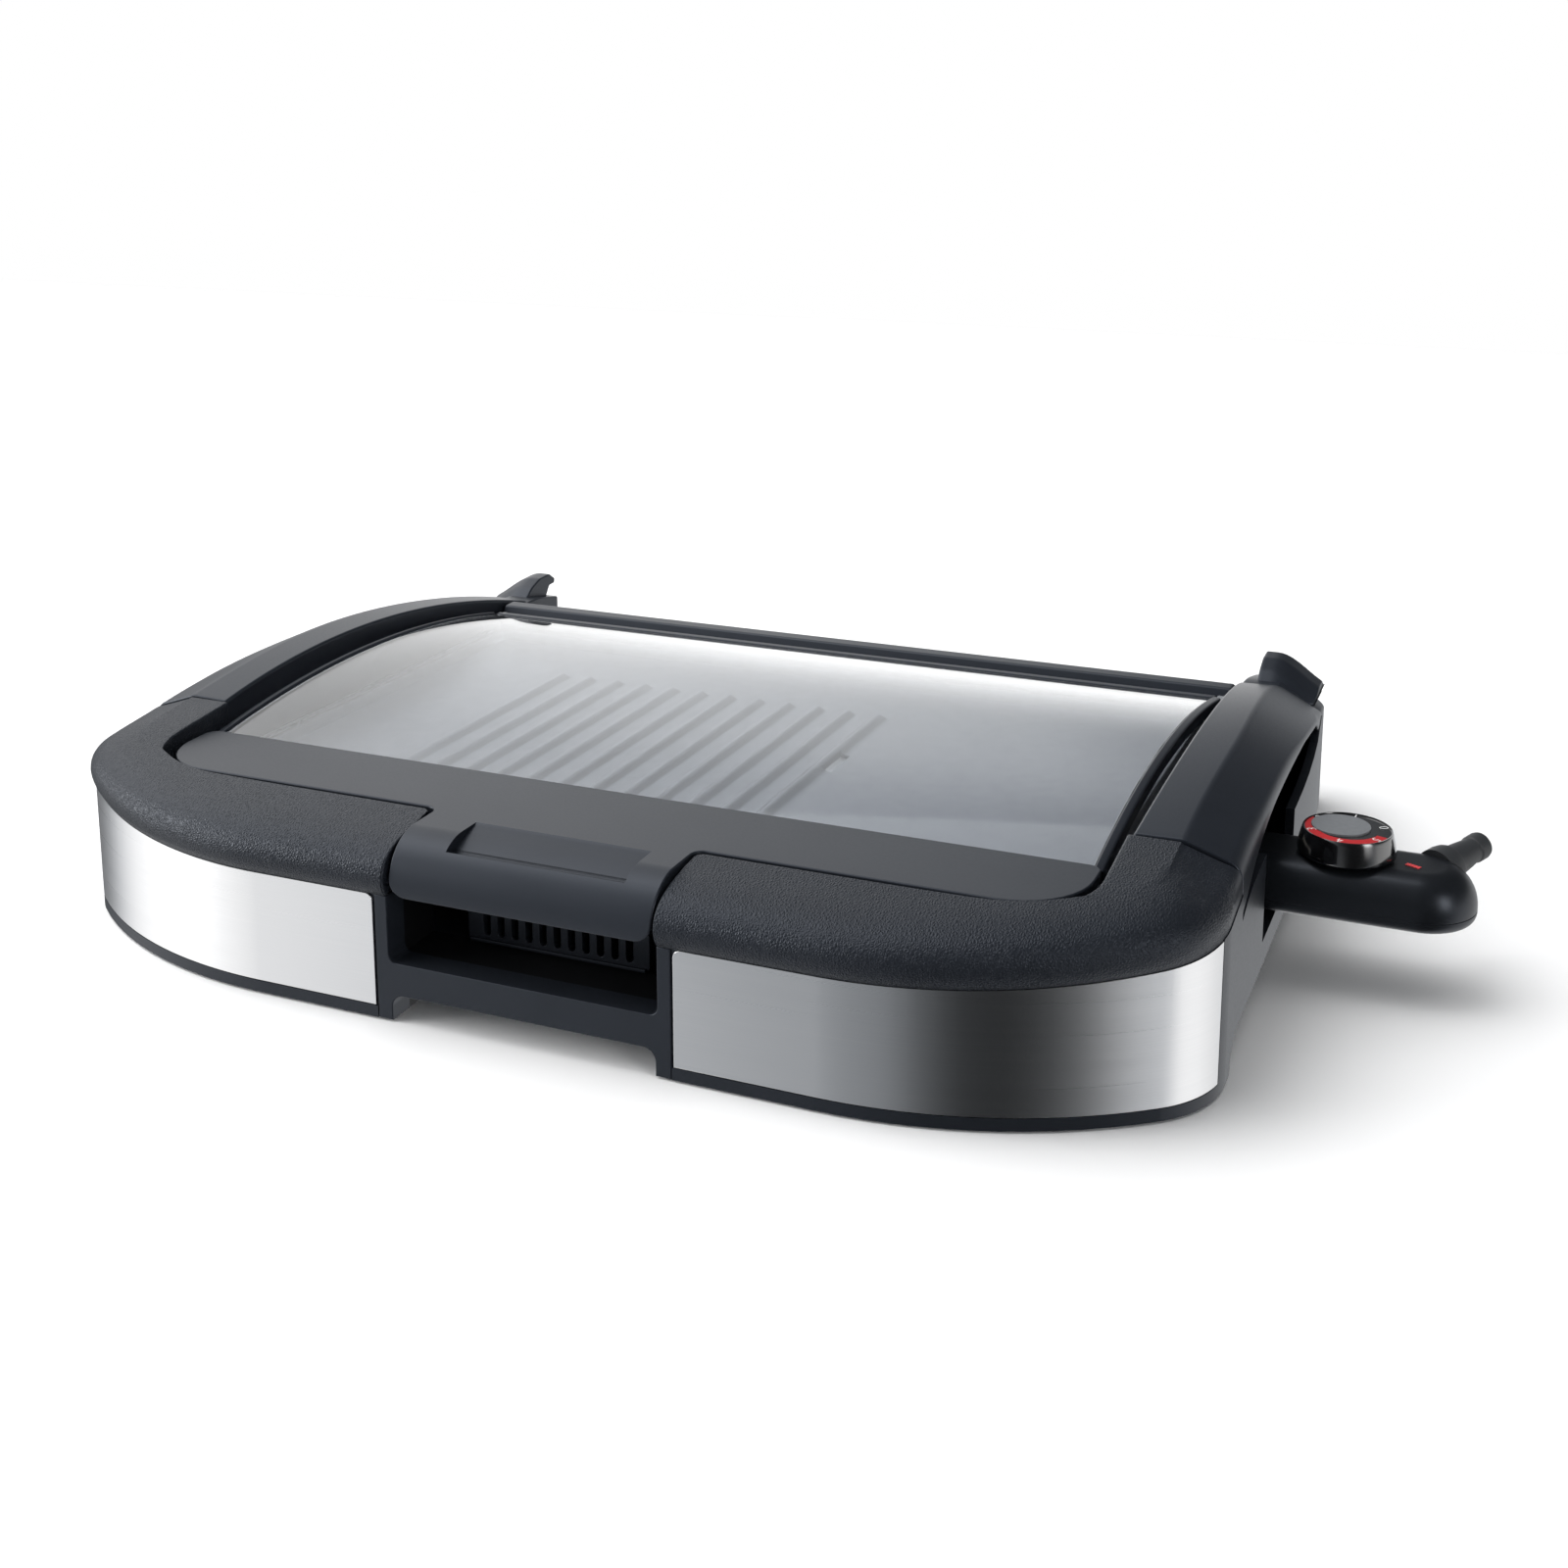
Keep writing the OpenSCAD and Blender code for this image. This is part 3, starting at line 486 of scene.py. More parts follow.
# Toughened glass, slightly grey, with the faintest unevenness in its polish.
s = Shader("lid_pane", (0.90, 0.925, 0.95), 0.02, IOR=1.52, Transmission_Weight=1.0)
s.roughness(s.ranged(s.noise(9, 3), 0.35, 0.65, 0.012, 0.035))
s.bump(s.noise(5, 2), 0.00003, 0.15)

s = Shader("lamp_glass", (0.95, 0.45, 0.25), 0.12, IOR=1.5, Transmission_Weight=0.6)
s.bump(s.noise(1200, 2), 0.00001, 0.3)

s = Shader("red_lens", (0.62, 0.03, 0.04), 0.16, Coat_Weight=0.6)
s.colour(s.noise(500, 2), (0.55, 0.02, 0.03), (0.80, 0.10, 0.10))
s.bump(s.noise(1500, 2), 0.00002, 0.4)

s = moulded("gloss_black", (0.0030, 0.0030, 0.0034), (0.0045, 0.0045, 0.0050), 0.14, 0.000004,
            Coat_Weight=1.0, Specular_IOR_Level=1.0)
s.surface.inputs["Coat Roughness"].default_value = 0.05
moulded("dial_red", (0.36, 0.004, 0.007), (0.43, 0.007, 0.010), 0.42, 0.000006, Specular_IOR_Level=0.3)
s = Shader("disc_grey", (0.17, 0.178, 0.19), 0.5, Metallic=0.3, Specular_IOR_Level=0.3)
rings = s.node("ShaderNodeTexNoise", Vector=s.stretched((500.0, 500.0, 500.0)), Scale=1.0, Detail=3.0)
s.colour(rings.outputs["Fac"], (0.15, 0.158, 0.17), (0.20, 0.21, 0.22))
s.bump(rings.outputs["Fac"], 0.00002, 0.3)
moulded("dial_white", (0.70, 0.70, 0.70), (0.78, 0.78, 0.78), 0.4, 0.000004)

# ---------- corner covers ----------

SEAM_Z = 54.5
SEAM_RISE = 0.14
COVER_X = 60.5
GRIP_Y0 = drawn_box("handle_right")[0].y
GRIP_Y1 = drawn_box("handle_right")[1].y
ARCH_R = 640
ARCH_Y = 200
ARCH_TOP = drawn_box("handle_right")[1].z
GRIP_INNER_X = 220.5
GRIP_INNER_R = 1894
CREST_X = 240
GRIP_CORNER_R = 9


def seam(y):
    """Height of the seam between the cover and the body below it."""
    return SEAM_Z + SEAM_RISE * y


def arch(y):
    """Height of the top of the handle arch at y."""
    return ARCH_TOP - ARCH_R + math.sqrt(ARCH_R**2 - (y - ARCH_Y) ** 2)


def grip_inner(y):
    """Where the inner side of the grip lies: a shallow arc in plan."""
    return GRIP_INNER_X - GRIP_INNER_R + math.sqrt(GRIP_INNER_R**2 - (y - ARCH_Y) ** 2)


def grip_crest(y):
    """Where the top of the grip turns into its outer slope, and how steep that slope is."""
    front = 1 - smooth(y, GRIP_Y0, ARCH_Y)
    rear = smooth(y, ARCH_Y, GRIP_Y1)
    return CREST_X - 2 * front - 7 * rear, math.tan(math.radians(24 - 5 * front + 4 * rear))


def grip_side(y):
    return outline(along_at(y), 0.4).x


def grip_over(y, crest_r, inner_r):
    """Corners of the grip's section from its outer face over the top to its inner edge."""
    crest, slope = grip_crest(y)
    side = grip_side(y)
    top = arch(y)
    corner = top - (side - crest) * slope
    return [(side, corner, GRIP_CORNER_R), (crest, top, crest_r), (grip_inner(y), top - 0.5, inner_r)]


# The cover's dome as (inset from the outline, height over the seam). It bulges round the corner, and
# takes the grip's section where it meets the handle.
COVER_TOP = 19.4
DOME_WIDTH = 24.5
DOME_POINTS = 22
BULGE = [(0.1, 0), (-1.2, 2), (-2.2, 4.6), (-2.58, 8), (-1.8, 11.6), (0.6, 14.8), (4.6, 17.1), (10, 18.5),
         (17, 19.2), (DOME_WIDTH, COVER_TOP)]
WALL_ARC = 8


def grip_line():
    """The grip's section at its front end, in the dome's terms."""
    over = grip_over(GRIP_Y0, 12, 0.01)
    foot = seam(GRIP_Y0)
    loop = rounded([(over[0][0], foot, 0.01)] + over + [(over[2][0], foot, 0.01)], WALL_ARC)
    line = [(SIDE_X - x, z - foot) for x, z in loop[WALL_ARC : 4 * (WALL_ARC + 1)]]
    return [p for p in line if p[0] < DOME_WIDTH] + [(DOME_WIDTH, COVER_TOP)]


bulge_line = curve_through(BULGE, DOME_POINTS)
wall_line = even(grip_line(), DOME_POINTS)


LID_FRONT, LID_SIDE, LID_CORNER_R = 37.5, 214.5, 26
SEAM_GAP = 1.1


def lid_edge(gap, y_end):
    """Line along the edge of the lid at a gap, from the front handle round the corner to y_end."""
    left, front, side = COVER_X + 0.8, LID_FRONT - gap, LID_SIDE + gap
    round_r = LID_CORNER_R + gap
    small = 3.4
    nook = arc((left + small, front - small), small, 180, 90, 5)
    bend = arc((side - round_r, front + round_r), round_r, -90, 0, 14)
    return [Vector(p) for p in nook], [Vector(p) for p in bend + [(side, y_end)]]


def cover_section(along, inner):
    """Closed section of the cover from the outline to a point on the edge of the lid."""
    y_out = outline(along).y
    points = []
    # The bulge turns into the grip's section: soon at the foot and later towards the top.
    for k, (b, w) in enumerate(zip(bulge_line, wall_line)):
        wall = smooth(y_out, 34, 70 + 36 * (k / DOME_POINTS) ** 2)
        p = outline(along, mix(b.x, w.x, wall))
        fall = 1.0 * smooth(p.y, 60, GRIP_Y0) * smooth(b.y, 8, COVER_TOP)
        points.append(Vector((p.x, p.y, seam(p.y) + mix(b.y, w.y, wall) - fall)))
    dome = points[-1]
    inner = Vector((inner.x, inner.y, 0))
    way = Vector((inner.x - dome.x, inner.y - dome.y, 0)).normalized()
    top = seam(inner.y) + COVER_TOP - 1.0 * smooth(inner.y, 60, GRIP_Y0)
    lip = 1.3
    start = Vector((inner.x, inner.y, top)) - way * lip
    for k in range(1, 6):
        points.append(dome.lerp(start, k / 6))
    for k in range(4):
        a = math.pi / 2 * k / 3
        points.append(start + way * lip * math.sin(a) - Vector((0, 0, lip * (1 - math.cos(a)))))
    foot = Vector((inner.x, inner.y, top - 15))
    points += [foot, foot - way * 3 + Vector((0, 0, 1))]
    rim = outline(along, 4)
    points.append(Vector((rim.x, rim.y, seam(rim.y) + 1)))
    low = outline(along, 0.9)
    points.append(Vector((low.x, low.y, seam(low.y))))
    return points


def corner_cover():
    y_end = GRIP_Y0 - SEAM_GAP
    nook, rest = lid_edge(1.5, y_end)
    columns = 64
    inner = nook[:-1] + even([nook[-1]] + rest, columns)
    start = COVER_X + nook[-1].x - nook[0].x
    end = along_at(y_end)
    outer = [mix(COVER_X, start, i / (len(nook) - 1)) for i in range(len(nook) - 1)]
    outer += [mix(start, end, i / (columns - 1)) for i in range(columns)]
    bm = loft([cover_section(s, p) for s, p in zip(outer, inner)], edge=0.7)
    # The grain covers all of the bulge, and fades out on the smooth wall under the handle.
    grain = bm.verts.layers.float.new("grain")
    for v in bm.verts:
        fade = mix(-8, 10, smooth(v.co.y, 55, GRIP_Y0)) if v.co.x > 240 else -8
        v[grain] = smooth(v.co.z - seam(v.co.y), fade, fade + 4)
    return bm


both("corner_cover", corner_cover(), "base", "grained_black", "corner_cover")

# ---------- handles ----------

UNDER = [(101.5, 58), (112, 61.6), (121, 66), (135, 71.5), (156, 76.5), (185, 79.3), (235, 79.6), (283, 77),
         (318, 70), (338, 62.5), (345, 59), (373, 58.3)]
under_line = curve_through(UNDER, 160)


def under(y):
    """Height of the underside of the grip."""
    for a, b in zip(under_line, under_line[1:]):
        if y <= b.x:
            return mix(a.y, b.y, (y - a.x) / (b.x - a.x))
    return under_line[-1].y


def grip_section(y):
    """Section of the handle: the grip, and the skirt that hangs from its inner edge."""
    over = grip_over(y, 8, 1.5)
    side, corner = over[0][:2]
    low = min(under(y), corner - 2.5)
    skirt, hem = 224.5, 56.0
    foot = [(grip_inner(y), hem, 0.7), (skirt, hem, 0.7), (skirt, low, 1.5), (side, low, 1.4)]
    return [Vector((x, y, z)) for x, z in rounded(foot + over, 6)]


grip_stations = [mix(GRIP_Y0 + 0.2, GRIP_Y1, i / 70) for i in range(71)]
both("handle", loft([grip_section(y) for y in grip_stations], edge=0.9), "base", "satin_black", "handle")

# ---------- rear posts with their ears ----------

POST_FRONT = GRIP_Y1 + 0.6
POST_BACK = 414.1


def post_top(x, y):
    """Height of the top of the post: it carries the handle's line on and falls outwards."""
    back = mix(69.3, 62, smooth(y, POST_FRONT + 6, 430))
    crest, slope = grip_crest(GRIP_Y1)
    return back - max(0.0, x - crest + 1.5) * slope * 1.05


def post_body():
    side = grip_side(GRIP_Y1)
    flat = rounded([(212.8, POST_FRONT, 0), (side - 0.4, POST_FRONT, 0), (side - 2.6, POST_BACK, 17),
                    (214, POST_BACK, 3)], 8, share=0.8)

    def bend(x, y, depth):
        return Vector((x, y, max(post_top(x, y) - depth, 1.0)))

    cuts = [218, 224, 229, 231, 232, 233, 234, 236, 239, 243, 247, 251]
    return sheet(flat, 90, 1.1, bend, cuts, [376, 380, 385, 390, 396, 402, 408])


EAR = [(380.5, 60, 1), (382.5, 66.8, 5), (391, 73.6, 14), (401, 77.2, 12), (413, 77.6, 3), (419.4, 73.6, 1.6),
       (418.6, 70.6, 1.2), (412.6, 70.4, 3), (408.6, 65, 5), (408, 60, 1)]
EAR_X0, EAR_X1 = 219.5, 249.8


def ear():
    sections = []
    for i in range(15):
        x = mix(EAR_X0, EAR_X1, i / 14)
        fall = 14.5 * smooth(x, 226, 256)
        lean = 3.0 * smooth(x, 236, 252)
        section = []
        for y, z in rounded(EAR, 4):
            high = smooth(z, 58, 76)
            section.append(Vector((x, y - lean * high * 0.4, z - fall * high)))
        sections.append(section)
    return loft(sections, edge=1.0)


both("rear_post", joined(post_body(), ear()), "base", "satin_black", "rear_post")

# ---------- rear rail and lid bars ----------


def bar(corners, half, edge):
    """A straight bar across the body with a rounded (y, z) section."""
    section = rounded(corners)
    stations = (-half, -half + 4, half - 4, half)
    return loft([[Vector((x, y, z)) for y, z in section] for x in stations], edge=edge)


rail_half = drawn_box("rear_rail")[1].x
rail = [(344.6, 58, 0.3), (344.6, 69.5, 2.5), (347.5, 74.4, 2.2), (356.5, 74.4, 2.5), (360.5, 72.4, 5),
        (392, 62.5, 1.2), (392, 60, 0.5), (361, 68, 2), (349.5, 68, 1), (349.5, 58, 0.3)]
piece("rear_rail", bar(rail, rail_half, 0.6), "base", "satin_black", ["rear_rail"])

lid_half = drawn_box("lid_rear_bar")[1].x
# It turns about the hinge pins in front of the rail, so it is low behind them.
hinge_bar = [(330.9, 68.6, 0.4), (330.9, 71.6, 0.3), (328.2, 72.2, 0.3), (328, 74.7, 0.8), (330.3, 74.7, 1.0),
             (333.4, 72.9, 2), (338.5, 72.8, 2.5), (343.3, 69.5, 3), (343.6, 64.5, 3), (340, 61.6, 3),
             (335, 61.6, 3), (332.4, 64.5, 2)]
piece("lid_rear_bar", bar(hinge_bar, lid_half, 0.5), "lid", "satin_black", ["lid_rear_bar"])

# ---------- lid ----------

GLASS_R = ARCH_R - 7.6
glass_low, glass_high = drawn_box("lid_glass")


def on_arch(radius):
    """Bends a flat sheet round the arch: a is x, b runs from the top of the arch to the back."""

    def bend(x, b, depth):
        turn = b / GLASS_R
        return Vector((x, ARCH_Y + (radius - depth) * math.sin(turn),
                       ARCH_TOP - ARCH_R + (radius - depth) * math.cos(turn)))

    return bend


def arch_run(y):
    """How far y lies from the top of the arch, along it."""
    return GLASS_R * math.asin((y - ARCH_Y) / GLASS_R)


pane = [arch_run(glass_low.y), arch_run(glass_high.y)]
flat_pane = rounded([(glass_low.x, pane[0], 2), (glass_high.x, pane[0], 2), (glass_high.x, pane[1], 5),
                     (glass_low.x, pane[1], 5)], 5)
pane_cuts = [mix(pane[0], pane[1], i / 56) for i in range(1, 56)]
glass = sheet(flat_pane, 4, 0.7, on_arch(GLASS_R), (), pane_cuts)
piece("lid_glass", glass, "lid", "lid_pane", ["lid_glass"])


def lid_rail():
    low, high = drawn_box("lid_rail_right")
    section = rounded([(low.x, -5.6, 0.5), (high.x, -5.6, 0.8), (high.x, 0.6, 1.0), (low.x + 0.6, 1.1, 0.7),
                       (low.x, 0.4, 0.4)], 4)
    place = on_arch(GLASS_R)
    stations = [mix(arch_run(low.y), arch_run(high.y), i / 48) for i in range(49)]
    return loft([[place(x, b, -rise) for x, rise in section] for b in stations], edge=0.5)


both("lid_rail", lid_rail(), "lid", "satin_black", "lid_rail")

NOSE_R, NOSE_Y, NOSE_Z = 20.5, 19.5, 58.2
STRIP_TOP = 78.7
TAB_END = NOSE_Y - NOSE_R * (math.pi / 2 + math.asin(3.4 / NOSE_R))


def strip_bend(x, b, depth):
    """The strip lies flat behind the nose and rolls down over it in front."""
    if b >= NOSE_Y:
        return Vector((x, b, STRIP_TOP + 0.01 * (b - NOSE_Y) - depth))
    turn = (NOSE_Y - b) / NOSE_R
    reach = NOSE_R - depth
    return Vector((x, NOSE_Y - reach * math.sin(turn), NOSE_Z + reach * math.cos(turn)))


def lid_strip():
    """The lid's front strip with its tab, which is the pull handle in the middle."""
    half, tab, front, back = 211.5, 58.6, 38.2, 83.0
    corners = [(-half, back, 6), (-half, front, 30), (-tab - 0.9, front, 5.0), (-tab, TAB_END, 8),
               (tab, TAB_END, 8), (tab + 0.9, front, 5.0), (half, front, 30), (half, back, 6)]
    nose_cuts = [mix(TAB_END, NOSE_Y, i / 22) for i in range(1, 23)]
    return sheet(rounded(corners, 9, share=0.85), 4.5, 0.8, strip_bend, (), nose_cuts)


def carve(bm, cutter):
    """Takes cutter away from a drawn mesh."""
    things = []
    for part in (bm, cutter):
        bmesh.ops.recalc_face_normals(part, faces=part.faces)
        mesh = bpy.data.meshes.new("carve")
        part.to_mesh(mesh)
        part.free()
        thing = bpy.data.objects.new("carve", mesh)
        bpy.context.collection.objects.link(thing)
        things.append(thing)
    cut = things[0].modifiers.new("cut", "BOOLEAN")
    cut.operation = "DIFFERENCE"
    cut.solver = "EXACT"
    cut.object = things[1]
    result = bpy.data.meshes.new_from_object(things[0].evaluated_get(bpy.context.evaluated_depsgraph_get()))
    carved = bmesh.new()
    carved.from_mesh(result)
    for thing in things:
        mesh = thing.data
        bpy.data.objects.remove(thing)
        bpy.data.meshes.remove(mesh)
    bpy.data.meshes.remove(result)
    return carved


def soften(bm, low, high, width, angle=25):
    """Bevels the sharp edges that lie inside a drawn box."""
    chosen = []
    for e in bm.edges:
        inside = all(low[k] <= v.co[k] <= high[k] for v in e.verts for k in range(3))
        if inside and e.is_manifold and e.calc_face_angle(0) > math.radians(angle):
            chosen.append(e)
    bmesh.ops.bevel(
        bm, geom=chosen, offset=width, segments=2, profile=0.5, affect="EDGES", clamp_overlap=True
    )


POCKET_HALF = 40.0
POCKET_X = 4.0


def pocket_cutter(half, front):
    """The finger pocket: a steep front wall and a floor that rises smoothly to the rear."""
    floor = [(front, 90), (front, 71.7), (front + 1.4, 71.3), (11.3, 72.0), (14, 73.3), (17.5, 74.8),
             (21, 76.0), (24.5, 77.0), (28.5, 77.9), (30.8, 79.2), (30.8, 90)]
    return loft([[Vector((POCKET_X + x, y, z)) for y, z in floor] for x in (-half, half)])


tub = block((POCKET_X - POCKET_HALF - 2, 6, 66.5), (POCKET_X + POCKET_HALF + 2, 27, 73.2), 0.3)
opened_strip = carve(lid_strip(), pocket_cutter(POCKET_HALF, 7.1))
strip = joined(opened_strip, carve(tub, pocket_cutter(POCKET_HALF - 0.04, 7.15)))
soften(strip, (POCKET_X - POCKET_HALF - 1, 6, 73), (POCKET_X + POCKET_HALF + 1, 40, 80), 0.35)
piece("lid_front_strip", strip, "lid", "satin_black", ["lid_front_strip"])

# ---------- brushed trims ----------

TRIM_X0, TRIM_Z0 = drawn_box("trim_right")[0].x, drawn_box("trim_right")[0].z
TRIM_Y1 = drawn_box("trim_right")[1].y


def trim():
    """The steel skin, cut flat under the rising seam and bent round the outline."""
    end = along_at(TRIM_Y1)
    top = [(s, seam(outline(s).y) - 0.3) for s in [mix(end, TRIM_X0 + 8, i / 60) for i in range(61)]]
    high, steps = seam(0) - 0.3, 8
    turned = rounded([(TRIM_X0 + 20, high, 0.01), (TRIM_X0, high, 3), (TRIM_X0, TRIM_Z0 + 9, 0.01)], steps)
    corner = turned[steps + 1 : 2 * (steps + 1)]
    flat = [(TRIM_X0, TRIM_Z0), (end, TRIM_Z0)] + top + corner

    def bend(s, z, depth):
        p = outline(s, depth)
        return Vector((p.x, p.y, z))

    cuts = [FRONT_HALF + 2.5 * i for i in range(int((end - FRONT_HALF) / 2.5) + 1)]
    return sheet(flat, 0.8, 0.22, bend, cuts)


both("trim", trim(), "base", "brushed_trim", "trim")

# ---------- front bezel ----------


def front_sheet(flat, y_front, thickness, edge):
    """A sheet cut to an (x, z) outline that faces the front."""
    return sheet(flat, thickness, edge, lambda x, z, depth: Vector((x, y_front + depth, z)))


BEZEL_X = drawn_box("front_frame")[1].x
OPENING_Z, ARCH_Z = 26, 12


def front_bezel():
    """The bezel's face, and the shelf, walls and legs behind it, which carry a darker black as painted shade.
    """
    top = seam(0) - 0.15
    leg = COVER_X - 1
    flat = rounded(
        [(-BEZEL_X, 1, 0), (-leg, 1, 0), (-leg, ARCH_Z, 7), (leg, ARCH_Z, 7), (leg, 1, 0), (BEZEL_X, 1, 0),
         (BEZEL_X, top, 0), (COVER_X, top, 0), (COVER_X, OPENING_Z, 3.5), (-COVER_X, OPENING_Z, 3.5),
         (-COVER_X, top, 0), (-BEZEL_X, top, 0)], 7)
    face = front_sheet(flat, 0.1, 12, 0.45)
    depth = drawn_box("front_frame")[1].y
    shelf = block((-COVER_X, 11, OPENING_Z - 3), (COVER_X, depth, OPENING_Z - 0.06), 0.2)
    walls = [block((x, 11, 17.5), (x + 3, depth, 51), 0.2) for x in (-COVER_X - 3.06, COVER_X + 0.06)]
    legs = [block((min(a, b), 3, 1), (max(a, b), 19.4, OPENING_Z - 2), 0.3)
            for a, b in ((-BEZEL_X + 0.5, -leg - 0.05), (leg + 0.05, BEZEL_X - 0.5))]
    return face, joined(shelf, *walls, *legs)


bezel, lining = front_bezel()
piece("front_frame", bezel, "base", "satin_black", ["front_frame"])
# The lining takes the darker black, which paints the shade deep in the opening.
piece("opening_lining", lining, "base", "shade_painted_black")

# ---------- drip tray ----------

tray_low, tray_high = drawn_box("drip_tray")
SLOTS, SLOT_PITCH, SLOT_HALF = 11, 6.6, 1.6


def tray_front():
    """The comb in front of the tray, with slots that are round at their lower ends, over a ledge."""
    half, foot, top = tray_high.x - 0.1, OPENING_Z + 0.6, tray_high.z
    face = tray_low.y
    corners = [(-half, foot, 2.5), (half, foot, 2.5), (half, top, 1)]
    for i in reversed(range(SLOTS)):
        x = (i - (SLOTS - 1) / 2) * SLOT_PITCH
        corners += [(x + SLOT_HALF, top, 0.5), (x + SLOT_HALF, foot + 3, SLOT_HALF * 0.95),
                    (x - SLOT_HALF, foot + 3, SLOT_HALF * 0.95), (x - SLOT_HALF, top, 0.5)]
    corners.append((-half, top, 1))
    comb = front_sheet(rounded(corners, 4), face, 5, 0.3)
    ledge = block((-half + 1.5, face - 1.4, foot + 0.2), (half - 1.5, face + 1, foot + 1.6), 0.35)
    return joined(comb, ledge)


def tray_tub():
    """The long open channel of the tray."""
    half, foot, top, wall = tray_high.x, tray_low.z, tray_high.z, 2
    inside, floor = half - wall, foot + wall
    section = rounded(
        [(-half, foot, 3), (half, foot, 3), (half, top, 0.8), (inside, top, 0.8), (inside, floor, 2.5),
         (-inside, floor, 2.5), (-inside, top, 0.8), (-half, top, 0.8)], 4)
    stations = (tray_low.y + 4.5, tray_low.y + 17, tray_high.y - 12, tray_high.y)
    channel = loft([[Vector((x, y, z)) for x, z in section] for y in stations], edge=0.4)
    back = block((-half + 1, tray_high.y - 2, foot + 1), (half - 1, tray_high.y - 0.2, top - 0.3), 0.5)
    return joined(channel, back)


piece("drip_tray", joined(tray_front(), tray_tub()), "tray", "base_black", ["drip_tray"])

# ---------- grill plate ----------

plate_low, plate_high = drawn_box("grill_plate")
PLATE_Z, RIM_H, RIM_W, RIM_DROP = 60.0, 5.0, 4.0, 0.7
RIBS, RIB_PITCH, RIB_X0, RIB_HALF, RIB_H = 12, 16.4, 51.5, 4.6, 2.9
RIB_Y0, RIB_Y1 = plate_low.y + 12, plate_low.y + 198
SLOT = ((53.5, 58.5), (186.0, 210.0))


def plate_height(x, y):
    """The cooking surface: flat with round ribs, inside a raised rim with a dropped outer edge."""
    edge = min(x - plate_low.x, plate_high.x - x, y - plate_low.y, plate_high.y - y)
    if edge < RIM_W:
        return PLATE_Z + RIM_H - (RIM_DROP if edge < 0.1 else 0)
    rise = 0.0
    nearest = RIB_X0 - RIB_PITCH * min(RIBS - 1, max(0, round((RIB_X0 - x) / RIB_PITCH)))
    off = abs(x - nearest) / RIB_HALF
    if off < 1:
        ends = smooth(y, RIB_Y0, RIB_Y0 + 5) * (1 - smooth(y, RIB_Y1 - 5, RIB_Y1))
        rise = RIB_H * ends * (0.5 + 0.5 * math.cos(math.pi * off)) ** 0.8
    return PLATE_Z + rise


def grill_plate():
    """A grid of cells over the plate, fine at the rim and the ribs, without the cells of the slot."""
    rim = [0, 0.8, RIM_W - 0.9, RIM_W - 0.1, RIM_W + 1.2]
    xs = {plate_low.x + r for r in rim} | {plate_high.x - r for r in rim} | set(SLOT[0])
    ys = {plate_low.y + r for r in rim} | {plate_high.y - r for r in rim} | set(SLOT[1])
    for i in range(RIBS):
        x = RIB_X0 - i * RIB_PITCH
        xs |= {x + RIB_HALF * k / 4 for k in range(-4, 5)}
    ys |= {RIB_Y0 + k for k in (0, 1, 2, 3, 4, 5)} | {RIB_Y1 - k for k in (0, 1, 2, 3, 4, 5)}
    ys |= {RIB_Y0 + 5 + (RIB_Y1 - RIB_Y0 - 10) * k / 12 for k in range(13)}
    xs, ys = sorted(xs), sorted(ys)
    bm = bmesh.new()
    top = [[bm.verts.new((x, y, plate_height(x, y))) for y in ys] for x in xs]
    low = [[bm.verts.new((x, y, plate_low.z)) for y in ys] for x in xs]

    def open_cell(i, j):
        x, y = (xs[i] + xs[i + 1]) / 2, (ys[j] + ys[j + 1]) / 2
        return SLOT[0][0] <= x <= SLOT[0][1] and SLOT[1][0] <= y <= SLOT[1][1]

    solid = set()
    for i in range(len(xs) - 1):
        for j in range(len(ys) - 1):
            if not open_cell(i, j):
                solid.add((i, j))
                bm.faces.new((top[i][j], top[i + 1][j], top[i + 1][j + 1], top[i][j + 1]))
                bm.faces.new((low[i][j], low[i][j + 1], low[i + 1][j + 1], low[i + 1][j]))
    for i, j in solid:
        sides = (((i - 1, j), (i, j), (i, j + 1)), ((i + 1, j), (i + 1, j), (i + 1, j + 1)),
                 ((i, j - 1), (i, j), (i + 1, j)), ((i, j + 1), (i, j + 1), (i + 1, j + 1)))
        for next_cell, a, b in sides:
            if next_cell not in solid:
                bm.faces.new((top[a[0]][a[1]], top[b[0]][b[1]], low[b[0]][b[1]], low[a[0]][a[1]]))
    bmesh.ops.delete(bm, geom=[v for v in bm.verts if not v.link_faces], context="VERTS")
    return bm


piece("grill_plate", grill_plate(), "base", "coated_plate", ["grill_plate"], sharp=50)


def drain_tongue():
    """A bare strip bent down under the slot, which leads the grease into the tray."""
    left, right = SLOT[0][0] + 0.1, SLOT[0][1] - 0.6
    section = [(left, PLATE_Z - 0.9), (right, PLATE_Z - 2.4), (right, PLATE_Z - 3.0), (left, PLATE_Z - 1.5)]
    return loft([[Vector((x, y, z)) for x, z in section] for y in (SLOT[1][0] + 0.1, SLOT[1][1] - 0.1)])


piece("drain_tongue", drain_tongue(), "base", "bare_aluminium")

# ---------- controller ----------

ctl_low, ctl_high = drawn_box("controller_upper")
CTL_Y = (ctl_low.y + ctl_high.y) / 2
CTL_HALF = (ctl_high.y - ctl_low.y) / 2
CTL_X0 = drawn_box("controller_lower")[0].x
CTL_X1 = ctl_high.x - CTL_HALF
CTL_SPLIT = 38.0
CTL_Z0 = drawn_box("controller_lower")[0].z
CTL_Z1 = ctl_high.z


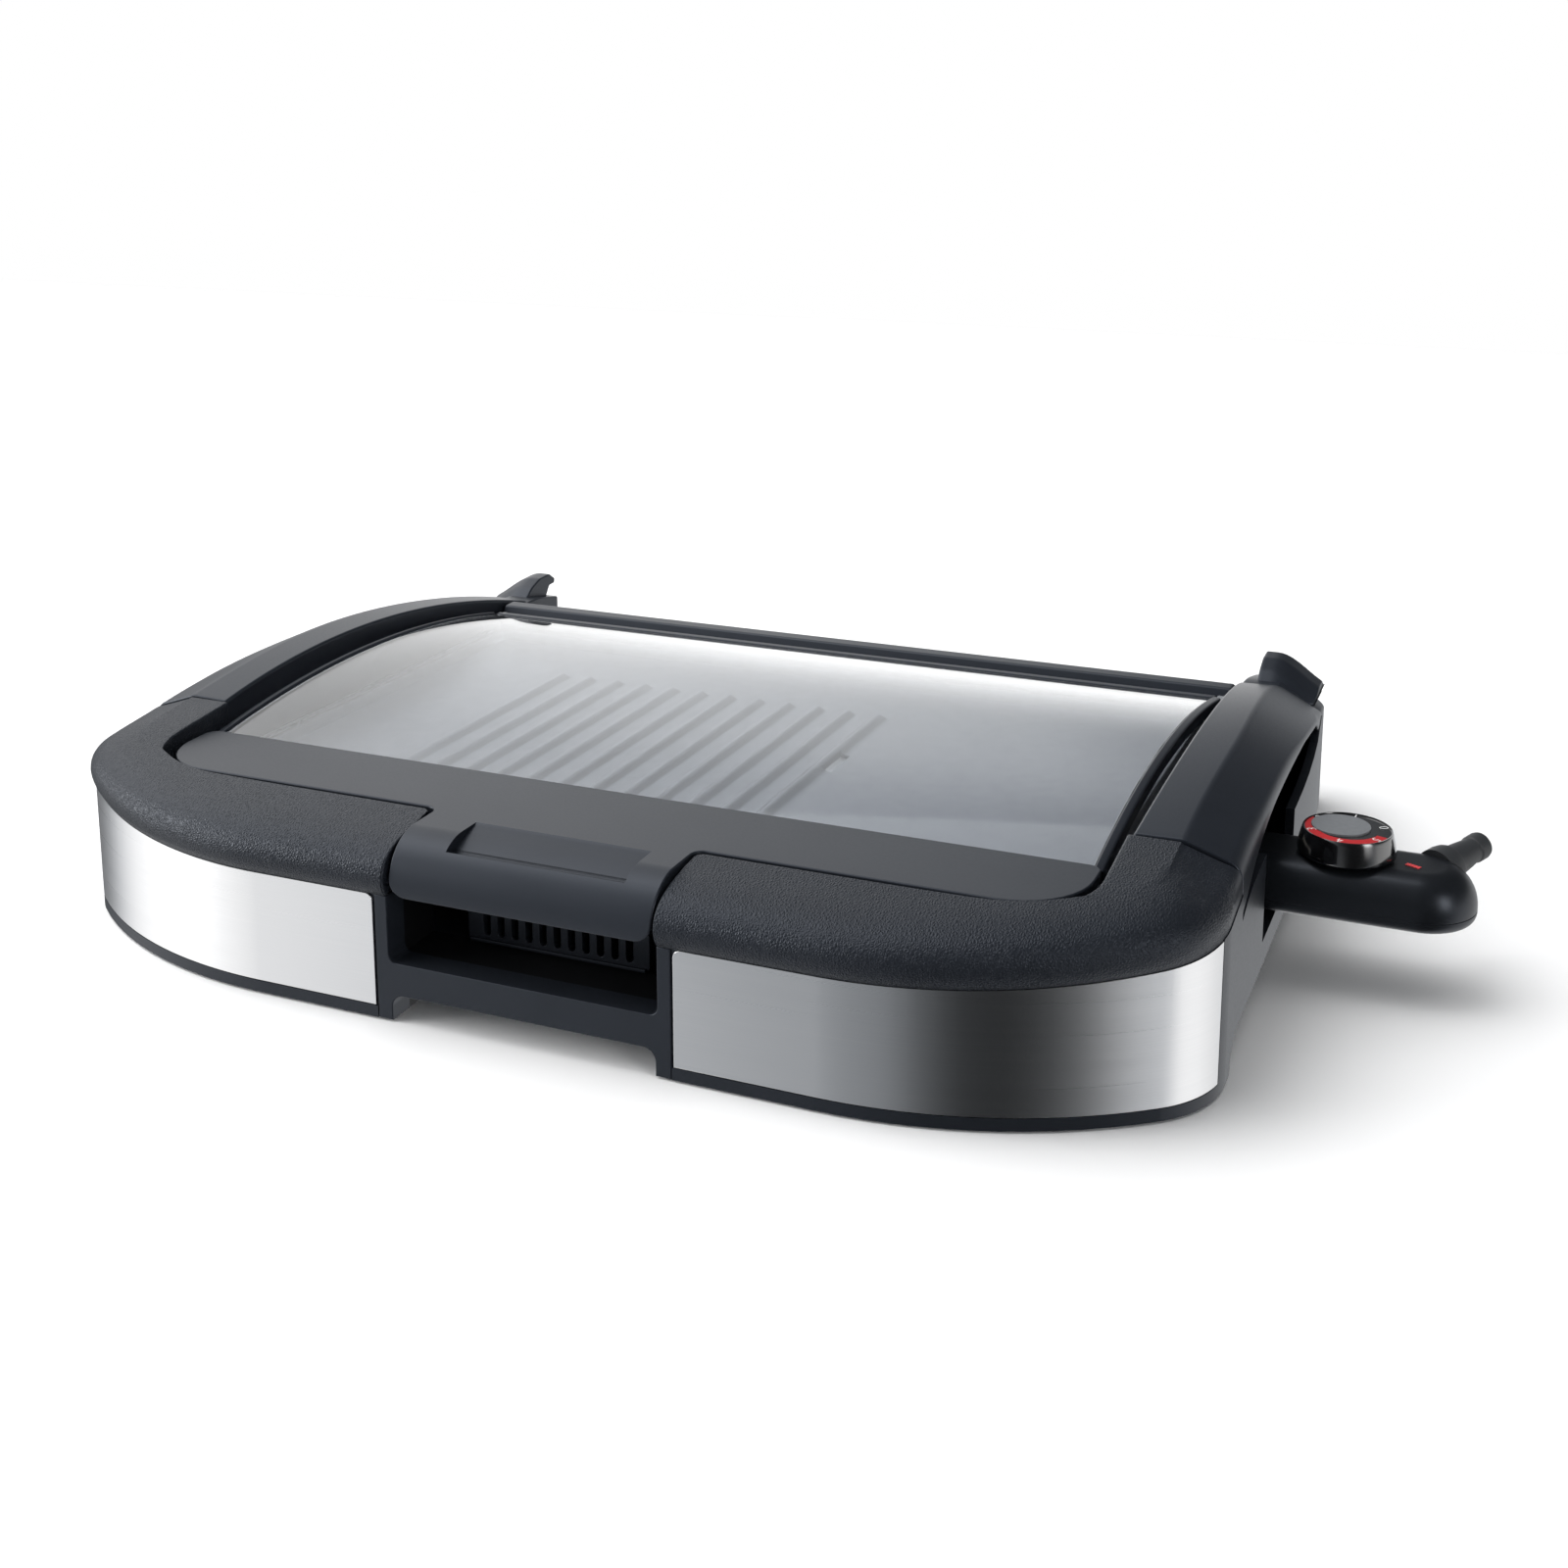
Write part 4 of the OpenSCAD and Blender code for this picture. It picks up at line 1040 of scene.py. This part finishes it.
def controller_ring(inset, z):
    """Plan of the controller at a height: straight sides and a round outer end."""
    half = CTL_HALF - inset
    left = CTL_X0 + min(inset, 2.0)
    sides = 24
    points = [(mix(left, CTL_X1, i / sides), CTL_Y - half) for i in range(sides)]
    points += arc((CTL_X1, CTL_Y), half, -90, 90, 40)
    points += [(mix(CTL_X1, left, (i + 1) / sides), CTL_Y + half) for i in range(sides)]
    return [Vector((x, y, z)) for x, y in points]


def controller_half(z_split, z_end, roundness, flatness):
    """One shell, from the parting line to its flat face, with a full round shoulder."""
    steps = 12
    rings = [controller_ring(0.2, z_split), controller_ring(0.03, mix(z_split, z_end, 0.03))]
    for i in range(1, steps + 1):
        a = math.pi / 2 * i / steps
        inset = roundness * (1 - math.cos(a) ** flatness)
        rings.append(controller_ring(inset, mix(z_split, z_end, 0.06 + 0.94 * math.sin(a))))
    return loft(rings)


upper = controller_half(CTL_SPLIT + 0.05, CTL_Z1, 13.5, 0.95)
lower = controller_half(CTL_SPLIT - 0.05, CTL_Z0 + 0.4, 5.5, 0.8)
piece("controller_upper", upper, "controller", "controller_black", ["controller_upper"])
piece("controller_lower", lower, "controller", "controller_black", ["controller_lower"])

RELIEF_AT = Vector((319, 197, 46.5))
RELIEF_TURN, RELIEF_RISE, RELIEF_LEN = math.radians(61), math.radians(6.7), 45.0
relief_place = (
    Matrix.Translation(RELIEF_AT)
    @ Matrix.Rotation(RELIEF_TURN, 4, "Z")
    @ Matrix.Rotation(math.pi / 2 - RELIEF_RISE, 4, "Y")
)
BORE_R, BORE_LEN = 3.5, 20.0
sleeve = [(0, 12), (9.4, 12), (9.3, 17), (8.8, 20), (8.3, 21.2), (7.4, 21.8), (7.0, 22.6), (6.6, 26),
          (6.1, 31), (5.6, 35), (5.5, 37.4), (5.9, 38.0), (6.0, 38.6), (6.0, 43.2), (5.7, 44.4), (5.0, 45),
          (3.9, 45), (BORE_R, 44.6), (BORE_R, RELIEF_LEN - BORE_LEN), (0, RELIEF_LEN - BORE_LEN)]
piece("strain_relief", lathe(sleeve, 64, relief_place), "controller", "rubber_black", ["strain_relief"])

# ---------- knob ----------

knob_low, knob_high = drawn_box("knob")
KNOB_X, KNOB_Y = (knob_low.x + knob_high.x) / 2, (knob_low.y + knob_high.y) / 2
KNOB_R = (knob_high.x - knob_low.x) / 2
KNOB_Z0, KNOB_Z1 = knob_low.z, knob_high.z
FACE_R = 17.9
FACE_Z = KNOB_Z1 - 0.6
TAPER = KNOB_R - FACE_R - 0.9
knob_profile = [(0, KNOB_Z0), (KNOB_R - 1.4, KNOB_Z0), (KNOB_R - 0.5, KNOB_Z0 + 0.4),
                (KNOB_R - 0.1, KNOB_Z0 + 1.1)]
for i in range(11):
    t = i / 10
    knob_profile.append((KNOB_R - TAPER * t**1.25, mix(KNOB_Z0 + 2, KNOB_Z1 - 1.0, t)))
knob_profile += [(FACE_R + 0.65, KNOB_Z1 - 0.35), (FACE_R + 0.4, KNOB_Z1), (FACE_R, KNOB_Z1 - 0.1),
                 (FACE_R - 0.15, FACE_Z), (0, FACE_Z)]
centre = Matrix.Translation((KNOB_X, KNOB_Y, 0))
piece("knob", lathe(knob_profile, 128, centre), "dial", "gloss_black", ["knob"], sharp=40)

RED_IN, RED_OUT, RED_FROM, RED_TO = 12.9, 17.5, 152, 343


def dial_band():
    """A raised red crescent on the knob's face."""
    outer = arc((KNOB_X, KNOB_Y), RED_OUT, RED_FROM, RED_TO, 64)
    inner = arc((KNOB_X, KNOB_Y), RED_IN, RED_TO, RED_FROM, 64)

    def bend(x, y, depth):
        return Vector((x, y, FACE_Z + 0.3 - depth))

    return sheet(outer + inner, 0.3, 0.08, bend)


piece("dial_ring", dial_band(), "dial", "dial_red", ["dial_ring"])
disc_low, disc_high = drawn_box("knob_disc")
DISC_R = (disc_high.x - disc_low.x) / 2
disc_centre = Matrix.Translation(((disc_low.x + disc_high.x) / 2, (disc_low.y + disc_high.y) / 2, 0))
DISC_Z1 = disc_high.z
disc_profile = [(0, FACE_Z), (DISC_R, FACE_Z), (DISC_R, DISC_Z1 - 0.35), (DISC_R - 0.12, DISC_Z1 - 0.1),
                (DISC_R - 0.4, DISC_Z1), (0, DISC_Z1)]
piece("knob_disc", lathe(disc_profile, 96, disc_centre), "dial", "disc_grey", ["knob_disc"])

NUMERAL_R, NUMERAL_H = 15.2, 4.2
NUMERAL_FROM, NUMERAL_STEP = 25, 60


def numeral(digit):
    """A printed digit on the knob's face, with its foot towards the centre."""
    text = bpy.data.curves.new("digit", "FONT")
    text.body = str(digit)
    text.size = NUMERAL_H * 1.4
    text.align_x = text.align_y = "CENTER"
    text.extrude = 0.04
    text.offset = -0.07
    thing = bpy.data.objects.new("digit", text)
    bpy.context.collection.objects.link(thing)
    mesh = bpy.data.meshes.new_from_object(thing.evaluated_get(bpy.context.evaluated_depsgraph_get()))
    bpy.data.objects.remove(thing)
    bpy.data.curves.remove(text)
    bm = bmesh.new()
    bm.from_mesh(mesh)
    bpy.data.meshes.remove(mesh)
    turn = math.radians(NUMERAL_FROM + NUMERAL_STEP * digit)
    spot = Vector((KNOB_X + NUMERAL_R * math.cos(turn), KNOB_Y + NUMERAL_R * math.sin(turn), FACE_Z + 0.33))
    bm.transform(Matrix.Translation(spot) @ Matrix.Rotation(turn - math.pi / 2, 4, "Z"))
    return bm


piece("dial_numerals", joined(*[numeral(d) for d in range(6)]), "dial", "dial_white", loose=True)

# ---------- CAD parts that keep their own shape ----------

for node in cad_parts.values():
    for material_slot in node.material_slots:
        name = material_slot.material.name.split(".")[0]
        material_slot.material = materials[name]
    if not node.hide_render:
        edge = node.modifiers.new("edge", "BEVEL")
        edge.width = 0.0003
        edge.segments = 2
        edge.limit_method = "ANGLE"
        edge.angle_limit = math.radians(40)
        edge.harden_normals = True

# ---------- stage, lights and camera ----------


def stage_floor():
    """A pale table. It is left out of mirror reflections, so the steel shows the studio's gradient."""
    mesh = bpy.data.meshes.new("floor")
    mesh.from_pydata([(-4.5, -3, 0), (5.5, -3, 0), (5.5, 2.2, 0), (-4.5, 2.2, 0)], [], [(0, 1, 2, 3)])
    floor = bpy.data.objects.new("floor", mesh)
    bpy.context.collection.objects.link(floor)
    s = Shader("floor", (0.9, 0.9, 0.9), 0.6)
    s.colour(s.noise(3), (0.89, 0.89, 0.89), (0.91, 0.91, 0.91))
    mesh.materials.append(s.material)
    floor.visible_glossy = False


def softbox(name, place, aim, size, power, reflected=True):
    data = bpy.data.lights.new(name, "AREA")
    data.shape = "RECTANGLE"
    data.size, data.size_y = size
    data.energy = power
    lamp = bpy.data.objects.new(name, data)
    lamp.location = place
    lamp.rotation_euler = (Vector(aim) - Vector(place)).to_track_quat("-Z", "Y").to_euler()
    lamp.visible_glossy = reflected
    bpy.context.collection.objects.link(lamp)


stage_floor()
softbox("overhead", (-0.3, 0.6, 2.6), (-0.1, 0.4, 0), (4.5, 4.0), 58, reflected=False)
softbox("left", (-2.0, -1.05, 0.62), (-0.1, 0, 0.05), (1.1, 0.7), 30)

# The studio round the table, as (degrees right of the front, level): low down, above that, and overhead.
STUDIO_LOW = [(-180, 0.75), (-176, 0.9), (-171, 1.6), (-158, 1.7), (-146, 1.3), (-134, 0.12), (-120, 0.10),
              (-112, 0.12), (-106, 0.30), (-98, 0.80), (-90, 1.15), (-40, 1.1), (-33, 0.80), (-27, 0.39),
              (-15, 0.29), (-5, 0.28), (5, 0.11), (14, 0.035), (28, 0.02), (40, 0.05), (52, 0.10),
              (66, 0.43), (85, 1.25), (104, 1.3), (128, 1.1), (150, 0.90), (176, 0.80), (180, 0.75)]
STUDIO_HIGH = [(-180, 0.06), (-175, 0.12), (-171, 0.35), (-165, 0.85), (-150, 1.25), (-138, 1.35),
               (-110, 1.3), (-60, 1.3), (-40, 0.9), (-25, 0.4), (-8, 0.12), (5, 0.05), (35, 0.04),
               (46, 0.10), (51, 5.0), (58, 7.0), (66, 5.0), (72, 0.4), (90, 0.15), (120, 0.12),
               (150, 0.06), (180, 0.06)]
STUDIO_TOP = [(-180, 0.08), (-170, 0.16), (-155, 0.6), (-140, 1.4), (-115, 2.6), (-88, 4.0), (-66, 4.0),
              (-48, 1.6), (-20, 0.25), (0, 0.1), (60, 0.1), (100, 0.10), (150, 0.06), (180, 0.08)]


def studio():
    """World background: the three bands blend by height, and the camera itself sees plain white."""
    world = bpy.data.worlds.new("studio")
    bpy.context.scene.world = world
    world.use_nodes = True
    nodes, links = world.node_tree.nodes, world.node_tree.links

    def give(socket, value):
        if isinstance(value, bpy.types.NodeSocket):
            links.new(value, socket)
        else:
            socket.default_value = value

    def node(kind, *values, **settings):
        made = nodes.new(kind)
        for key, value in settings.items():
            setattr(made, key, value)
        for socket, value in zip(made.inputs, values):
            give(socket, value)
        return made

    def between(factor, first, second):
        made = node("ShaderNodeMix", data_type="RGBA")
        for key, value in (("Factor", factor), ("A", first), ("B", second)):
            give(made.inputs[key], value)
        return made.outputs["Result"]

    def ramp(levels, turn):
        """Level by direction, slightly cool where it is dim."""
        made = node("ShaderNodeValToRGB", turn)
        stops = made.color_ramp.elements
        while len(stops) < len(levels):
            stops.new(0.5)
        for stop, (degrees, level) in zip(stops, levels):
            cool = 1 - smooth(level, 0.5, 1.1)
            stop.position = degrees / 360 + 0.5
            stop.color = (level * (1 - 0.05 * cool), level, level * (1 + 0.06 * cool), 1)
        return made.outputs["Color"]

    direction = node("ShaderNodeTexCoord")
    split = node("ShaderNodeSeparateXYZ", direction.outputs["Generated"]).outputs
    forward = node("ShaderNodeMath", split["Y"], -1.0, operation="MULTIPLY").outputs["Value"]
    azimuth = node("ShaderNodeMath", split["X"], forward, operation="ARCTAN2").outputs["Value"]
    turn = node("ShaderNodeMath", azimuth, 0.5 / math.pi, 0.5, operation="MULTIPLY_ADD").outputs["Value"]
    low_end, high_end = [
        node("ShaderNodeMapRange", split["Z"], start, end, interpolation_type="SMOOTHSTEP").outputs["Result"]
        for start, end in ((-0.06, 0.30), (0.42, 0.68))
    ]
    walls = between(low_end, ramp(STUDIO_LOW, turn), ramp(STUDIO_HIGH, turn))
    room = between(high_end, walls, ramp(STUDIO_TOP, turn))
    path = node("ShaderNodeLightPath")
    links.new(between(path.outputs["Is Camera Ray"], room, (1, 1, 1, 1)), nodes["Background"].inputs["Color"])


studio()
bpy.context.scene.view_settings.view_transform = "Standard"

# The camera stands front right of the griddle and looks a little down.
camera_data = bpy.data.cameras.new("camera")
camera_data.lens = 44.57
camera_data.shift_x = -0.0008
camera_data.shift_y = -0.19
camera = bpy.data.objects.new("camera", camera_data)
camera.location = (0.3711, -0.8214, 0.3693)
camera.rotation_euler = (math.radians(90 - 11.37), 0, math.radians(22.85))
bpy.context.collection.objects.link(camera)
bpy.context.scene.camera = camera

bpy.context.view_layer.update()
